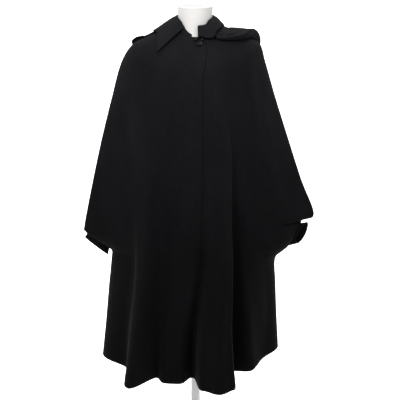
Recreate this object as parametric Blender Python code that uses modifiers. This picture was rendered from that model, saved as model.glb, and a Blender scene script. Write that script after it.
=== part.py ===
import math

import bmesh
import bpy
from mathutils import Vector

# Hooded cape with cuffed side wings, standing on a limbless dress form.
# Metres, +Z up. The front faces -Y and the wearer's right is -X.
# The origin is the centre of the base's underside.

# Cloth: heavy coating wool.
WALL = 0.0022            # thickness of one layer
SEAM_GAP = 0.0003        # space left between two pieces that are sewn together
LAYER_GAP = 0.0010       # space left between layers that lie on each other
UNDERLAP_COLUMNS = 3     # columns of the left front that pass under the right front
UNDERLAP_FADE = 0.10     # share of the left front over which it comes up to the surface again
SEAM_SPREAD = 4          # columns over which a side edge's move off the seam line fades out

# Grid of the panels.
FRONT_COLUMNS = 22       # from the front edge to the side
BACK_COLUMNS = 17        # from the centre back to the side
ROWS_PER_SECTION = 2     # rows between two sections of the table
BODY_SHARE = 0.70        # share of a panel that covers the body; the rest is the side wing
BODY_PART = 0.72         # its half width on narrow sections, as a part of the section's own

# Sections of the cape from the neckline to the hem. The front and back columns are on the
# centre lines, and the right and left ones are where the section reaches its side edge.
# edge_x is where the overlapping front edge lies, and body_x the greatest half width of the
# part of a panel over the body. The outline in plan is
# y = side + (centre - side) * (1 - across ** power) ** bow, with across from 0 to 1.
SECTION_COLUMNS = (
    "name", "front_z", "front_y", "back_z", "back_y",
    "right_x", "right_z", "left_x", "left_z", "edge_x",
    "body_x", "power", "bow")
SECTIONS = (
    ("neckline",       1.258, -0.064, 1.286, 0.060, 0.066, 1.292, 0.066, 1.292, 0.026, 0.1870, 2.0, 0.50),
    ("collarbone",     1.228, -0.080, 1.263, 0.084, 0.100, 1.279, 0.100, 1.279, 0.030, 0.1870, 2.0, 0.50),
    ("shoulder slope", 1.190, -0.099, 1.228, 0.104, 0.142, 1.260, 0.144, 1.260, 0.030, 0.1870, 2.1, 0.50),
    ("shoulder point", 1.145, -0.116, 1.185, 0.118, 0.184, 1.239, 0.189, 1.241, 0.022, 0.1870, 2.1, 0.52),
    ("upper arm",      1.080, -0.129, 1.120, 0.126, 0.219, 1.185, 0.208, 1.185, 0.020, 0.1870, 1.9, 0.60),
    ("chest",          0.990, -0.137, 1.020, 0.131, 0.248, 1.085, 0.238, 1.085, 0.020, 0.1870, 1.75, 0.72),
    ("elbow",          0.890, -0.143, 0.910, 0.135, 0.282, 0.955, 0.279, 0.960, 0.021, 0.1870, 1.60, 0.86),
    ("forearm",        0.800, -0.147, 0.810, 0.139, 0.313, 0.820, 0.320, 0.838, 0.019, 0.1855, 1.56, 0.94),
    ("sleeve corner",  0.727, -0.150, 0.731, 0.142, 0.339, 0.694, 0.361, 0.731, 0.017, 0.1838, 1.56, 0.97),
    ("cuff top",       0.696, -0.152, 0.699, 0.144, 0.335, 0.676, 0.323, 0.709, 0.017, 0.1824, 1.62, 0.90),
    ("cuff middle",    0.661, -0.154, 0.662, 0.146, 0.297, 0.649, 0.300, 0.665, 0.017, 0.1805, 1.75, 0.78),
    ("cuff bottom",    0.626, -0.155, 0.626, 0.148, 0.259, 0.622, 0.275, 0.624, 0.017, 0.1784, 1.92, 0.65),
    ("underarm",       0.588, -0.156, 0.588, 0.150, 0.258, 0.590, 0.245, 0.596, 0.014, 0.1764, 2.14, 0.53),
    ("thigh",          0.500, -0.160, 0.500, 0.156, 0.267, 0.507, 0.247, 0.512, 0.004, 0.1777, 2.14, 0.50),
    ("knee",           0.385, -0.166, 0.388, 0.165, 0.278, 0.395, 0.252, 0.408, -0.010, 0.1814, 2.2, 0.46),
    ("hem",            0.258, -0.172, 0.268, 0.175, 0.290, 0.290, 0.258, 0.313, -0.015, 0.1857, 2.2, 0.45),
)
SIDE_RISE = 2.2          # how late a section climbs from its centre height to its side height

# Folds that grow from start_z to the hem. A share runs from the front edge, or the centre
# back, to the side; out is how far the fold line stands off the plain section at the hem.
FOLD_COLUMNS = ("name", "share_top", "share_hem", "out", "start_z")
FOLDS = {
    ("front", "right"): (
        ("front edge", 0.00, 0.00, -0.036, 0.72),
        ("flat lobe, inner side", 0.05, 0.10, 0.012, 0.72),
        ("flat lobe, outer side", 0.24, 0.31, 0.014, 0.85),
        ("deep valley", 0.38, 0.40, -0.022, 0.88),
        ("side lobe", 0.52, 0.58, 0.096, 0.90),
        ("side lobe, back of it", 0.60, 0.64, 0.080, 0.85),
        ("side valley", 0.76, 0.76, -0.030, 0.80),
        ("side", 1.00, 1.00, 0.0, 0.60),
    ),
    ("front", "left"): (
        ("front edge", 0.00, 0.00, -0.036, 0.72),
        ("flat beside the edge", 0.03, 0.03, -0.036, 0.72),
        ("main lobe, inner side", 0.09, 0.11, 0.060, 0.95),
        ("main lobe", 0.16, 0.26, 0.098, 1.16),
        ("main lobe, sharp side", 0.22, 0.385, 0.078, 1.16),
        ("dark valley", 0.32, 0.47, -0.050, 1.14),
        ("low ridge", 0.55, 0.66, -0.006, 0.70),
        ("side hollow", 0.74, 0.80, -0.026, 0.65),
        ("side", 1.00, 1.00, 0.0, 0.60),
    ),
    ("back", "right"): (
        ("centre back", 0.00, 0.00, 0.060, 0.95),
        ("first valley", 0.16, 0.20, -0.034, 0.90),
        ("first lobe", 0.30, 0.40, 0.068, 0.88),
        ("second valley", 0.46, 0.56, -0.040, 0.80),
        ("second lobe", 0.62, 0.74, 0.048, 0.72),
        ("side hollow", 0.80, 0.88, -0.022, 0.60),
        ("side", 1.00, 1.00, 0.0, 0.60),
    ),
    ("back", "left"): (
        ("centre back", 0.00, 0.00, 0.060, 0.95),
        ("first valley", 0.18, 0.22, -0.040, 0.92),
        ("first lobe", 0.34, 0.43, 0.058, 0.90),
        ("second valley", 0.50, 0.60, -0.032, 0.76),
        ("second lobe", 0.66, 0.77, 0.052, 0.70),
        ("side hollow", 0.82, 0.90, -0.018, 0.60),
        ("side", 1.00, 1.00, 0.0, 0.60),
    ),
}
FOLD_GROWTH = 1.25       # folds deepen faster towards the hem

# Cuffs: bands sewn into the sleeve ends. The mouth leans in the front view and may be turned
# towards the front. Half sizes are of the mouth; the root is the sleeve end's own opening,
# drawn in by inset from the panels' outer faces.
CUFF_COLUMNS = (
    "side", "mouth_x", "mouth_y", "mouth_z", "half_width", "half_depth", "lean_deg", "turn_deg",
    "inset")
CUFFS = (
    ("right", -0.3025, 0.002, 0.6310, 0.0440, 0.0120, 52.0, 4.0, 0.0019),
    ("left", 0.3240, -0.012, 0.6740, 0.0360, 0.0240, 24.0, 37.0, 0.0062),
)
CUFF_ROOT_DEPTH = {"right": 0.013, "left": 0.024}   # half the front-to-back opening of a sleeve end
SLEEVE_END_MARGIN = 0.001    # in levels; the two ends of the opening stay closed
CUFF_ROWS = 3            # rings along a cuff
CUFF_END_INSET = 0.0060  # the cuff's root stands inside the ends of the sleeve opening by this
CUFF_TUCK = 0.0030       # and starts this far up the sleeve

# Collar. turn is measured around the neck from the centre front, negative to the wearer's
# right and past -180 on the wearer's left; level counts sections down from the neckline, and
# roll is how far a leaf rolls out before it turns down, as a part of its length.
STAND_COLUMNS = ("turn", "top_z", "top_radius")
STAND = (
    (-12, 1.266, 0.0600),
    (-43, 1.285, 0.0565),
    (-90, 1.320, 0.0538),
    (-180, 1.326, 0.0560),
    (-270, 1.320, 0.0538),
    (-300, 1.303, 0.0550),
    (-318, 1.292, 0.0570),
    (-350, 1.288, 0.0590),
)
STAND_STEPS = 34
STAND_SEAT = 0.0008      # the stand's lower edge over the neckline
FALL_COLUMNS = ("name", "fold_turn", "edge_turn", "level", "lift", "roll")
FALL = (
    ("right point",        -43, -61, 2.34, 0.0046, 0.10),
    ("right outer corner", -68, -77, 1.42, 0.0044, 0.09),
    ("right shoulder",     -92, -93, 1.50, 0.0092, 0.12),
    ("right back",        -132, -132, 1.70, 0.0110, 0.20),
    ("centre back",       -180, -180, 1.66, 0.0110, 0.24),
    ("left back",         -226, -228, 1.45, 0.0110, 0.24),
    ("left shoulder",     -264, -266, 0.55, 0.0090, 0.24),
    ("left outer edge",   -292, -294, 0.50, 0.0140, 0.24),
    ("left point",        -318, -316, 0.70, 0.0125, 0.24),
    ("left front edge",   -350, -350, 0.04, 0.0070, 0.20),
)
FALL_STEPS = 4           # columns between two rows of the table
FALL_ROWS = 5

# Hood laid back: a pouch from the neckline whose turned edge lies over the left shoulder.
# reach is the level of its lower edge, loft its height there, and mouth the share of the
# reach at which its outer layer ends, at the height mouth_loft.
HOOD_COLUMNS = ("name", "turn", "reach", "loft", "mouth", "mouth_loft")
HOOD = (
    ("left end",        -306, 0.84, 0.007, 0.45, 0.005),
    ("left front",      -295, 1.30, 0.012, 0.32, 0.004),
    ("left band",       -283, 2.02, 0.021, 0.24, 0.003),
    ("left shoulder",   -270, 2.44, 0.027, 0.24, 0.001),
    ("left back",       -250, 3.40, 0.022, 0.30, 0.004),
    ("lower left",      -215, 4.60, 0.032, 0.45, 0.028),
    ("centre back",     -180, 5.05, 0.034, 0.52, 0.032),
    ("lower right",     -145, 4.45, 0.028, 0.46, 0.024),
    ("right back",      -110, 3.30, 0.012, 0.66, 0.010),
    ("right shoulder",   -91, 2.85, 0.007, 0.76, 0.006),
)
HOOD_STEPS = 4           # columns between two rows of the table
HOOD_ROOT = 0.30         # level of the hood's seam, under the collar
HOOD_LIFT = 0.0037       # the hood's under layer over the panels
HOOD_UNDER = 9           # steps across the under layer
HOOD_TURN = 3            # steps round its lower edge
HOOD_OVER = 3            # steps back over the outer layer
HOOD_BULGE = 0.10        # how far the lower edge rounds out, in levels
HOOD_FALL = 1.1          # how late the outer layer comes down to its mouth

# Button at the neck.
BUTTON_X = 0.011
BUTTON_Z = 1.2435
BUTTON_RADIUS = 0.0135
BUTTON_THICKNESS = 0.0042
BUTTON_RIM = 0.0026
BUTTON_HOLE_RADIUS = 0.0012
BUTTON_HOLE_SPACING = 0.0028
BUTTON_DISH = 0.0009     # the middle lies this much below the rim
BUTTON_SEAT = 0.0006     # space between the cloth and the button's back
BUTTON_SIDES = 28
BUTTON_HOLE_SIDES = 10
BUTTON_LEVEL_STEP = 0.01     # steps down the sections by which the button's level is found

# Dress form: the shoulders are the cape's own sections moved in, and the rest is turned
# from this table of half widths and half depths.
FORM_CLEARANCE = 0.0016
FORM_DOUBLE_START = 0.9  # place on the front from which the form makes room for the doubled fronts
FORM_DOUBLE_FADE = 0.3   # and the width of place over which it does so
FORM_SHOULDER_LEVELS = (0.5, 1.0, 1.5, 2.0, 2.5, 3.0)
FORM_COLUMNS_PER_QUARTER = 12
NECK_TOP_Z = 1.350
NECK_TOP_RADIUS = 0.053
NECK_TILT_DEG = 9.0
NECK_COLUMNS = ("z", "half_width", "half_depth", "slope")
NECK = (
    (1.322, 0.0508, 0.0508, 0.16),
    (1.300, 0.0496, 0.0500, 0.20),
    (1.277, 0.0520, 0.0515, 0.14),
)
TORSO_COLUMNS = ("z", "side_rise", "half_width", "front", "back")
TORSO = (
    (1.140, 0.050, 0.165, 0.104, 0.104),
    (1.100, 0.020, 0.153, 0.112, 0.103),
    (1.030, 0.0, 0.144, 0.110, 0.098),
    (0.950, 0.0, 0.118, 0.086, 0.082),
    (0.880, 0.0, 0.130, 0.094, 0.096),
    (0.800, 0.0, 0.150, 0.104, 0.112),
    (0.730, 0.0, 0.146, 0.100, 0.108),
)

# Stand: one pole on a round base.
POLE_RADIUS = 0.014
BASE_RADIUS = 0.175
BASE_THICKNESS = 0.014
BASE_EDGE = 0.004        # rounding of the base's rim
BASE_SIDES = 48
POLE_SIDES = 24
FITTING_RADIUS = 0.026    # fitting that holds the pole on the base
FITTING_HEIGHT = 0.030

ROUGHNESS = {"wool": 0.95, "button": 0.12, "form": 0.55, "stand": 0.35}
COLOURS = {
    "wool": (0.012, 0.012, 0.014, 1.0),
    "button": (0.010, 0.010, 0.011, 1.0),
    "form": (0.80, 0.79, 0.77, 1.0),
    "stand": (0.85, 0.85, 0.85, 1.0),
}


def records(columns, rows):
    return [dict(zip(columns, row)) for row in rows]


sections = records(SECTION_COLUMNS, SECTIONS)
level_of = {section["name"]: index for index, section in enumerate(sections)}
HEM_LEVEL = len(sections) - 1


def smooth_between(values, place):
    # Catmull-Rom curve through evenly spaced values.
    index = min(max(int(math.floor(place)), 0), len(values) - 2)
    part = place - index
    before = values[max(index - 1, 0)]
    first = values[index]
    second = values[index + 1]
    after = values[min(index + 2, len(values) - 1)]
    return 0.5 * (
        2.0 * first + (second - before) * part
        + (2.0 * before - 5.0 * first + 4.0 * second - after) * part ** 2
        + (3.0 * first - before - 3.0 * second + after) * part ** 3)


def eased(rows, key, place_key, place):
    # Value at a place between the rows of a table, with level ridges at the rows.
    for first, second in zip(rows, rows[1:]):
        low, high = first[place_key], second[place_key]
        if min(low, high) <= place <= max(low, high):
            part = (place - low) / (high - low)
            return first[key] + (second[key] - first[key]) * (1.0 - math.cos(math.pi * part)) / 2.0
    nearest = min(rows, key=lambda row: abs(row[place_key] - place))
    return nearest[key]


def curved(rows, key, place_key, place):
    # Value at a place between the rows of a table, on one smooth curve.
    values = [row[key] for row in rows]
    for index, (first, second) in enumerate(zip(rows, rows[1:])):
        low, high = first[place_key], second[place_key]
        if min(low, high) <= place <= max(low, high):
            return smooth_between(values, index + (place - low) / (high - low))
    nearest = min(rows, key=lambda row: abs(row[place_key] - place))
    return nearest[key]


def section_at(level):
    return {key: smooth_between([section[key] for section in sections], level)
            for key in SECTION_COLUMNS[1:]}


def sleeve_opening(half, side, level):
    # Distance in y of a panel's side edge from the seam line: an oval at the sleeve end.
    top = level_of["cuff top"] - SLEEVE_END_MARGIN
    bottom = level_of["cuff bottom"] + SLEEVE_END_MARGIN
    if not top < level < bottom:
        return 0.0
    part = (level - top) / (bottom - top)
    reach = CUFF_ROOT_DEPTH[side] * math.sqrt(max(0.0, 1.0 - (2.0 * part - 1.0) ** 2))
    return -reach if half == "front" else reach


SAMPLES = 72             # points along a quarter section
FACE_STEP = 0.015        # step along a section that gives the face's direction
LEVEL_STEP = 0.05        # and step down the sections
HEM_SAMPLES = 240        # points along the hem by which the columns are spaced
ROUNDING = 1e-9
plain_quarters = {}


def plain_quarter(half, side, level):
    # Points of one quarter section, from the centre line to the side, and their shares.
    key = (half, side, round(level, 5))
    if key in plain_quarters:
        return plain_quarters[key]
    row = section_at(level)
    sign = -1.0 if side == "right" else 1.0
    width = row[side + "_x"]
    centre_y = row[half + "_y"]
    centre_z = row[half + "_z"]
    side_y = sleeve_opening(half, side, level)
    points = []
    for index in range(SAMPLES + 1):
        across = math.sin(index / SAMPLES * math.pi / 2.0)
        bow = max(0.0, 1.0 - across ** row["power"]) ** row["bow"]
        points.append(Vector((
            sign * width * across,
            side_y + (centre_y - side_y) * bow,
            centre_z + (row[side + "_z"] - centre_z) * across ** SIDE_RISE)))
    lengths = [0.0]
    for start, end in zip(points, points[1:]):
        lengths.append(lengths[-1] + (end - start).length)
    body_x = min(BODY_PART * width, row["body_x"])
    body = next(place for place, point in enumerate(points) if abs(point.x) >= body_x)
    before = abs(points[body - 1].x)
    part = (body_x - before) / (abs(points[body].x) - before)
    body_length = lengths[body - 1] + part * (lengths[body] - lengths[body - 1])
    shares = []
    for length in lengths:
        if length <= body_length:
            shares.append(BODY_SHARE * length / body_length)
        else:
            wing = (length - body_length) / (lengths[-1] - body_length)
            shares.append(BODY_SHARE + (1.0 - BODY_SHARE) * wing)
    plain_quarters[key] = (points, shares)
    return plain_quarters[key]


def plain_point(half, place, level):
    # A point of a half section, by its place from -1 at the right side to 1 at the left.
    side = "right" if place < 0.0 else "left"
    points, shares = plain_quarter(half, side, level)
    wanted = min(abs(place), 1.0)
    low, high = 0, len(points) - 1
    while high - low > 1:
        middle = (low + high) // 2
        if shares[middle] <= wanted:
            low = middle
        else:
            high = middle
    part = (wanted - shares[low]) / (shares[high] - shares[low])
    return points[low].lerp(points[high], part)


def edge_place(level):
    # Place of the overlapping front edge on its section.
    edge_x = section_at(level)["edge_x"]
    side = "right" if edge_x < 0.0 else "left"
    points, shares = plain_quarter("front", side, level)
    for index in range(SAMPLES):
        low, high = abs(points[index].x), abs(points[index + 1].x)
        if low <= abs(edge_x) <= high:
            part = (abs(edge_x) - low) / (high - low)
            share = shares[index] + part * (shares[index + 1] - shares[index])
            return math.copysign(share, edge_x)
    return 0.0


def place_of(half, side, share, level):
    # Place on the half section of a share of a panel, from its front edge or centre back.
    first = edge_place(level) if half == "front" else 0.0
    last = -1.0 if side == "right" else 1.0
    return first + (last - first) * share


def share_of(half, place, level):
    first = edge_place(level) if half == "front" else 0.0
    side = "right" if place < first else "left"
    last = -1.0 if side == "right" else 1.0
    return side, (place - first) / (last - first)


def fold_out(half, side, share, height):
    # How far the folds push the cloth out at a share of the panel and a height.
    hem_z = sections[HEM_LEVEL][half + "_z"]
    lines = []
    for fold in records(FOLD_COLUMNS, FOLDS[(half, side)]):
        grown = max(0.0, (fold["start_z"] - height) / (fold["start_z"] - hem_z))
        drift = min(1.0, grown)
        lines.append({
            "share": fold["share_top"] + (fold["share_hem"] - fold["share_top"]) * drift,
            "out": fold["out"] * grown ** FOLD_GROWTH})
    return eased(lines, "out", "share", share)


def surface_point(half, place, level):
    # A point on the cape's outer face.
    side, share = share_of(half, place, level)
    point = plain_point(half, place, level)
    out = fold_out(half, side, share, section_at(level)[half + "_z"])
    start = plain_point(half, max(-1.0, place - FACE_STEP), level)
    end = plain_point(half, min(1.0, place + FACE_STEP), level)
    outward = Vector((end.y - start.y, start.x - end.x, 0.0)).normalized()
    return point + outward * (out if half == "front" else -out)


def surface_normal(half, place, level):
    # Outward normal of the cape's outer face.
    across = (surface_point(half, min(1.0, place + FACE_STEP), level)
              - surface_point(half, max(-1.0, place - FACE_STEP), level))
    down = (surface_point(half, place, min(HEM_LEVEL, level + LEVEL_STEP))
            - surface_point(half, place, max(0.0, level - LEVEL_STEP)))
    normal = down.cross(across).normalized()
    return normal if half == "front" else -normal


def cape_point(half, side, share, level):
    return surface_point(half, place_of(half, side, share, level), level)


def cape_normal(half, side, share, level):
    return surface_normal(half, place_of(half, side, share, level), level)


def around(turn, level, lift):
    # A point over the shoulders by its turn round the neck, moved out from the panels.
    turn = turn if turn >= -180.0 else turn + 360.0
    if abs(turn) <= 90.0:
        half, place = "front", turn / 90.0
    else:
        half, place = "back", math.copysign((180.0 - abs(turn)) / 90.0, turn)
    return surface_point(half, place, level) + surface_normal(half, place, level) * lift


def even_shares(half, side, columns):
    # Shares that lie evenly along the folded hem.
    points = [cape_point(half, side, index / HEM_SAMPLES, HEM_LEVEL)
              for index in range(HEM_SAMPLES + 1)]
    lengths = [0.0]
    for start, end in zip(points, points[1:]):
        lengths.append(lengths[-1] + (end - start).length)
    shares = []
    for column in range(columns + 1):
        wanted = column / columns * lengths[-1]
        index = max(at for at in range(HEM_SAMPLES) if lengths[at] <= wanted + ROUNDING)
        part = (wanted - lengths[index]) / (lengths[index + 1] - lengths[index])
        shares.append((index + part) / HEM_SAMPLES)
    return shares


def panel_levels():
    return [index / ROWS_PER_SECTION for index in range(HEM_LEVEL * ROWS_PER_SECTION + 1)]


def clear_of_seam(half, column, grid):
    # Moves a side edge out so that neither face of the wall crosses the seam line.
    sign = -1.0 if half == "front" else 1.0
    rows = len(grid)
    width = len(grid[0])
    inner = column - 1 if column else 1
    moved = []
    for row in range(rows):
        edge = grid[row][column]
        inward = grid[row][inner] - edge
        along = grid[min(row + 1, rows - 1)][column] - grid[max(row - 1, 0)][column]
        normal = inward.cross(along).normalized()
        room = SEAM_GAP / 2.0 + WALL * abs(normal.y)
        short = room - sign * edge.y
        moved.append(max(0.0, short))
    for row in range(rows):
        near = moved[max(row - 1, 0):row + 2]
        push = max(near)
        for place in range(width):
            away = abs(place - column)
            if away < SEAM_SPREAD:
                grid[row][place].y += sign * push * (1.0 - away / SEAM_SPREAD)


def tidy_scene():
    for item in list(bpy.data.objects):
        bpy.data.objects.remove(item, do_unlink=True)


def material(name):
    made = bpy.data.materials.new(name)
    made.use_nodes = True
    shader = made.node_tree.nodes["Principled BSDF"]
    shader.inputs["Base Color"].default_value = COLOURS[name]
    shader.inputs["Roughness"].default_value = ROUGHNESS[name]
    made.diffuse_color = COLOURS[name]
    return made


def add_object(name, mesh, collection, surface):
    item = bpy.data.objects.new(name, mesh)
    collection.objects.link(item)
    if surface:
        mesh.materials.append(surface)
    return item


def grid_mesh(name, grid, closed=False, flip=False):
    # A sheet through rows of points.
    work = bmesh.new()
    rows = [[work.verts.new(point) for point in row] for row in grid]
    for upper, lower in zip(rows, rows[1:]):
        count = len(upper)
        for index in range(count if closed else count - 1):
            after = (index + 1) % count
            corners = (upper[index], lower[index], lower[after], upper[after])
            work.faces.new(tuple(reversed(corners)) if flip else corners)
    mesh = bpy.data.meshes.new(name)
    work.to_mesh(mesh)
    work.free()
    return mesh


def thicken(item, thickness):
    # Gives a sheet its wall, on the side away from its normals.
    wall = item.modifiers.new("wall", "SOLIDIFY")
    wall.thickness = thickness
    wall.offset = -1.0
    wall.use_even_offset = False
    return item


def smooth(item, angle_deg=40.0):
    item.data.shade_smooth()
    item.data.set_sharp_from_angle(angle=math.radians(angle_deg))
    return item


def front_grid(side):
    # Outer points of a front, from its front edge to its side edge.
    shares = even_shares("front", side, FRONT_COLUMNS)
    grid = [[cape_point("front", side, share, level) for share in shares]
            for level in panel_levels()]
    clear_of_seam("front", FRONT_COLUMNS, grid)
    return shares, grid


def build_fronts(collection, surface):
    right_shares, right_grid = front_grid("right")
    left_shares, left_grid = front_grid("left")
    mesh = grid_mesh("front_right", right_grid, flip=True)
    smooth(thicken(add_object("front_right", mesh, collection, surface), WALL))

    fronts = {"right": right_grid, "left": left_grid}
    under = []
    for level, right_row, left_row in zip(panel_levels(), right_grid, left_grid):
        row = []
        for column in range(UNDERLAP_COLUMNS, 0, -1):
            inward = cape_normal("front", "right", right_shares[column], level)
            row.append(right_row[column] - inward * (WALL + LAYER_GAP))
        for share, point in zip(left_shares, left_row):
            fade = max(0.0, 1.0 - max(0.0, share - left_shares[1]) / UNDERLAP_FADE)
            inward = cape_normal("front", "left", share, level)
            row.append(point - inward * (WALL + LAYER_GAP) * fade)
        under.append(row)
    mesh = grid_mesh("front_left", under)
    smooth(thicken(add_object("front_left", mesh, collection, surface), WALL))
    return fronts


def build_back(collection, surface):
    right_shares = even_shares("back", "right", BACK_COLUMNS)
    left_shares = even_shares("back", "left", BACK_COLUMNS)
    grid = []
    for level in panel_levels():
        right = [cape_point("back", "right", share, level) for share in reversed(right_shares)]
        left = [cape_point("back", "left", share, level) for share in left_shares[1:]]
        grid.append(right + left)
    clear_of_seam("back", 0, grid)
    clear_of_seam("back", 2 * BACK_COLUMNS, grid)
    mesh = grid_mesh("back", grid, flip=True)
    smooth(thicken(add_object("back", mesh, collection, surface), WALL))
    return grid


def build_cuffs(collection, surface, fronts, back_rows):
    # Each cuff runs from the panels' own edges at the sleeve end to its mouth.
    levels = panel_levels()
    first = levels.index(level_of["cuff top"])
    last = levels.index(level_of["cuff bottom"])
    for cuff in records(CUFF_COLUMNS, CUFFS):
        side = cuff["side"]
        sign = -1.0 if side == "right" else 1.0
        front_edge = [fronts[side][row][-1] for row in range(first, last + 1)]
        back_column = 0 if side == "right" else -1
        back_edge = [back_rows[row][back_column] for row in range(first, last + 1)]
        top = (front_edge[0] + back_edge[0]) / 2.0
        bottom = (front_edge[-1] + back_edge[-1]) / 2.0
        lean = math.radians(cuff["lean_deg"])
        turn = math.radians(cuff["turn_deg"])
        along = Vector((sign * math.sin(lean), 0.0, math.cos(lean)))
        outward = Vector((sign * math.cos(lean), 0.0, -math.sin(lean)))
        depth = Vector((0.0, -math.cos(turn), 0.0)) - outward * math.sin(turn)
        centre = Vector((cuff["mouth_x"], cuff["mouth_y"], cuff["mouth_z"]))
        major = (top - bottom).normalized()
        middle = (top + bottom) / 2.0
        fitted = 1.0 - CUFF_END_INSET / (top - middle).length
        root = []
        for point in between_points([top] + front_edge[1:-1] + [bottom] + back_edge[-2:0:-1]):
            lengthwise = major * (point - middle).dot(major)
            sideways = point - middle - lengthwise
            kept = max(0.0, 1.0 - cuff["inset"] / max(sideways.length, cuff["inset"]))
            root.append(middle + lengthwise * fitted + sideways * kept)
        tuck = (middle - centre).normalized() * CUFF_TUCK
        root = [point + tuck for point in root]

        mouth = []
        for index in range(len(root)):
            angle = index / len(root) * 2.0 * math.pi
            mouth.append(centre + along * math.cos(angle) * cuff["half_width"]
                         + depth * math.sin(angle) * cuff["half_depth"])
        grid = []
        for row in range(CUFF_ROWS):
            part = row / (CUFF_ROWS - 1)
            grid.append([start.lerp(end, part) for start, end in zip(root, mouth)])
        mesh = grid_mesh("cuff_" + side, grid, closed=True, flip=side == "left")
        smooth(thicken(add_object("cuff_" + side, mesh, collection, surface), WALL))


def between_points(ring):
    # A closed ring with a point added halfway along each of its sides.
    points = []
    for start, end in zip(ring, ring[1:] + ring[:1]):
        points.extend((start, (start + end) / 2.0))
    return points


def stand_top(turn, extra=0.0):
    rows = records(STAND_COLUMNS, STAND)
    base = around(turn, 0.0, 0.0)
    outward = Vector((base.x, base.y, 0.0)).normalized()
    radius = curved(rows, "top_radius", "turn", turn) + extra
    return outward * radius + Vector((0.0, 0.0, curved(rows, "top_z", "turn", turn)))


def build_collar_stand(collection, surface):
    grid = [[], [], []]
    for step in range(STAND_STEPS + 1):
        turn = STAND[0][0] + (STAND[-1][0] - STAND[0][0]) * step / STAND_STEPS
        foot = around(turn, 0.0, 0.0) + Vector((0.0, 0.0, STAND_SEAT))
        top = stand_top(turn)
        grid[0].append(top)
        grid[1].append(foot.lerp(top, 0.5))
        grid[2].append(foot)
    mesh = grid_mesh("collar_stand", grid, flip=True)
    smooth(thicken(add_object("collar_stand", mesh, collection, surface), WALL))


def build_collar_fall(collection, surface):
    rows = records(FALL_COLUMNS, FALL)
    grid = [[] for _ in range(FALL_ROWS + 1)]
    for step in range(FALL_STEPS * (len(rows) - 1) + 1):
        place = step / FALL_STEPS
        at = {key: smooth_between([row[key] for row in rows], place) for key in FALL_COLUMNS[1:]}
        fold = stand_top(at["fold_turn"], WALL + SEAM_GAP)
        edge = around(at["edge_turn"], at["level"], at["lift"])
        outward = Vector((fold.x, fold.y, 0.0)).normalized()
        roll = fold + outward * (edge - fold).length * at["roll"]
        for row in range(FALL_ROWS + 1):
            part = row / FALL_ROWS
            grid[row].append(fold.lerp(roll, part).lerp(roll.lerp(edge, part), part))
    mesh = grid_mesh("collar_fall", grid, flip=True)
    smooth(thicken(add_object("collar_fall", mesh, collection, surface), WALL))


def hood_section(reach, loft, mouth, mouth_loft):
    # Level and lift of the pouch's points, from its seam round its lower edge to its mouth.
    depth = reach - HOOD_ROOT
    points = []
    for step in range(HOOD_UNDER + 1):
        points.append((HOOD_ROOT + depth * step / HOOD_UNDER, HOOD_LIFT))
    for step in range(1, HOOD_TURN + 1):
        angle = math.pi * step / HOOD_TURN
        points.append((
            reach + HOOD_BULGE * math.sin(angle),
            HOOD_LIFT + loft * (1.0 - math.cos(angle)) / 2.0))
    for step in range(1, HOOD_OVER + 1):
        part = step / HOOD_OVER
        points.append((
            reach - depth * (1.0 - mouth) * part,
            HOOD_LIFT + loft + (mouth_loft - loft) * part ** HOOD_FALL))
    return points


def build_hood(collection, surface):
    rows = records(HOOD_COLUMNS, HOOD)
    grid = []
    for step in range(HOOD_STEPS * (len(rows) - 1) + 1):
        place = step / HOOD_STEPS
        at = {key: smooth_between([row[key] for row in rows], place) for key in HOOD_COLUMNS[1:]}
        section = hood_section(at["reach"], at["loft"], at["mouth"], at["mouth_loft"])
        grid.append([around(at["turn"], level, lift) for level, lift in section])
    mesh = grid_mesh("hood", grid)
    smooth(thicken(add_object("hood", mesh, collection, surface), WALL))


def build_button(collection, surface):
    # A flat button with a raised rim and four holes, turned about its own axis.
    level = 0.0
    while surface_point("front", 0.0, level).z > BUTTON_Z:
        level += BUTTON_LEVEL_STEP
    place = edge_place(level) * BUTTON_X / section_at(level)["edge_x"]
    normal = surface_normal("front", place, level)
    seat = surface_point("front", place, level) + normal * BUTTON_SEAT

    half = BUTTON_THICKNESS / 2.0
    profile = (
        (0.0, BUTTON_THICKNESS - BUTTON_DISH),
        (BUTTON_RADIUS - BUTTON_RIM, BUTTON_THICKNESS - BUTTON_DISH),
        (BUTTON_RADIUS - BUTTON_RIM * 0.6, BUTTON_THICKNESS),
        (BUTTON_RADIUS - BUTTON_RIM * 0.2, BUTTON_THICKNESS),
        (BUTTON_RADIUS, half),
        (BUTTON_RADIUS - BUTTON_RIM * 0.4, 0.0),
        (0.0, 0.0),
    )
    item = turned("button", profile, BUTTON_SIDES, collection, surface)
    item.location = seat
    item.rotation_mode = "QUATERNION"
    item.rotation_quaternion = normal.to_track_quat("Z", "Y")
    for index in range(4):
        angle = math.radians(45.0 + 90.0 * index)
        bpy.ops.mesh.primitive_cylinder_add(
            vertices=BUTTON_HOLE_SIDES, radius=BUTTON_HOLE_RADIUS, depth=BUTTON_THICKNESS * 3.0)
        cutter = bpy.context.object
        cutter.name = f"button_hole_{index + 1}"
        cutter.parent = item
        cutter.location = (BUTTON_HOLE_SPACING * math.cos(angle),
                           BUTTON_HOLE_SPACING * math.sin(angle), half)
        make_cutter(cutter)
        hole = item.modifiers.new(cutter.name, "BOOLEAN")
        hole.operation = "DIFFERENCE"
        hole.solver = "EXACT"
        hole.object = cutter


def make_cutter(item):
    cutters = bpy.data.collections.get("cutters")
    for owner in list(item.users_collection):
        owner.objects.unlink(item)
    cutters.objects.link(item)
    item.hide_render = True
    item.display_type = "WIRE"


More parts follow.
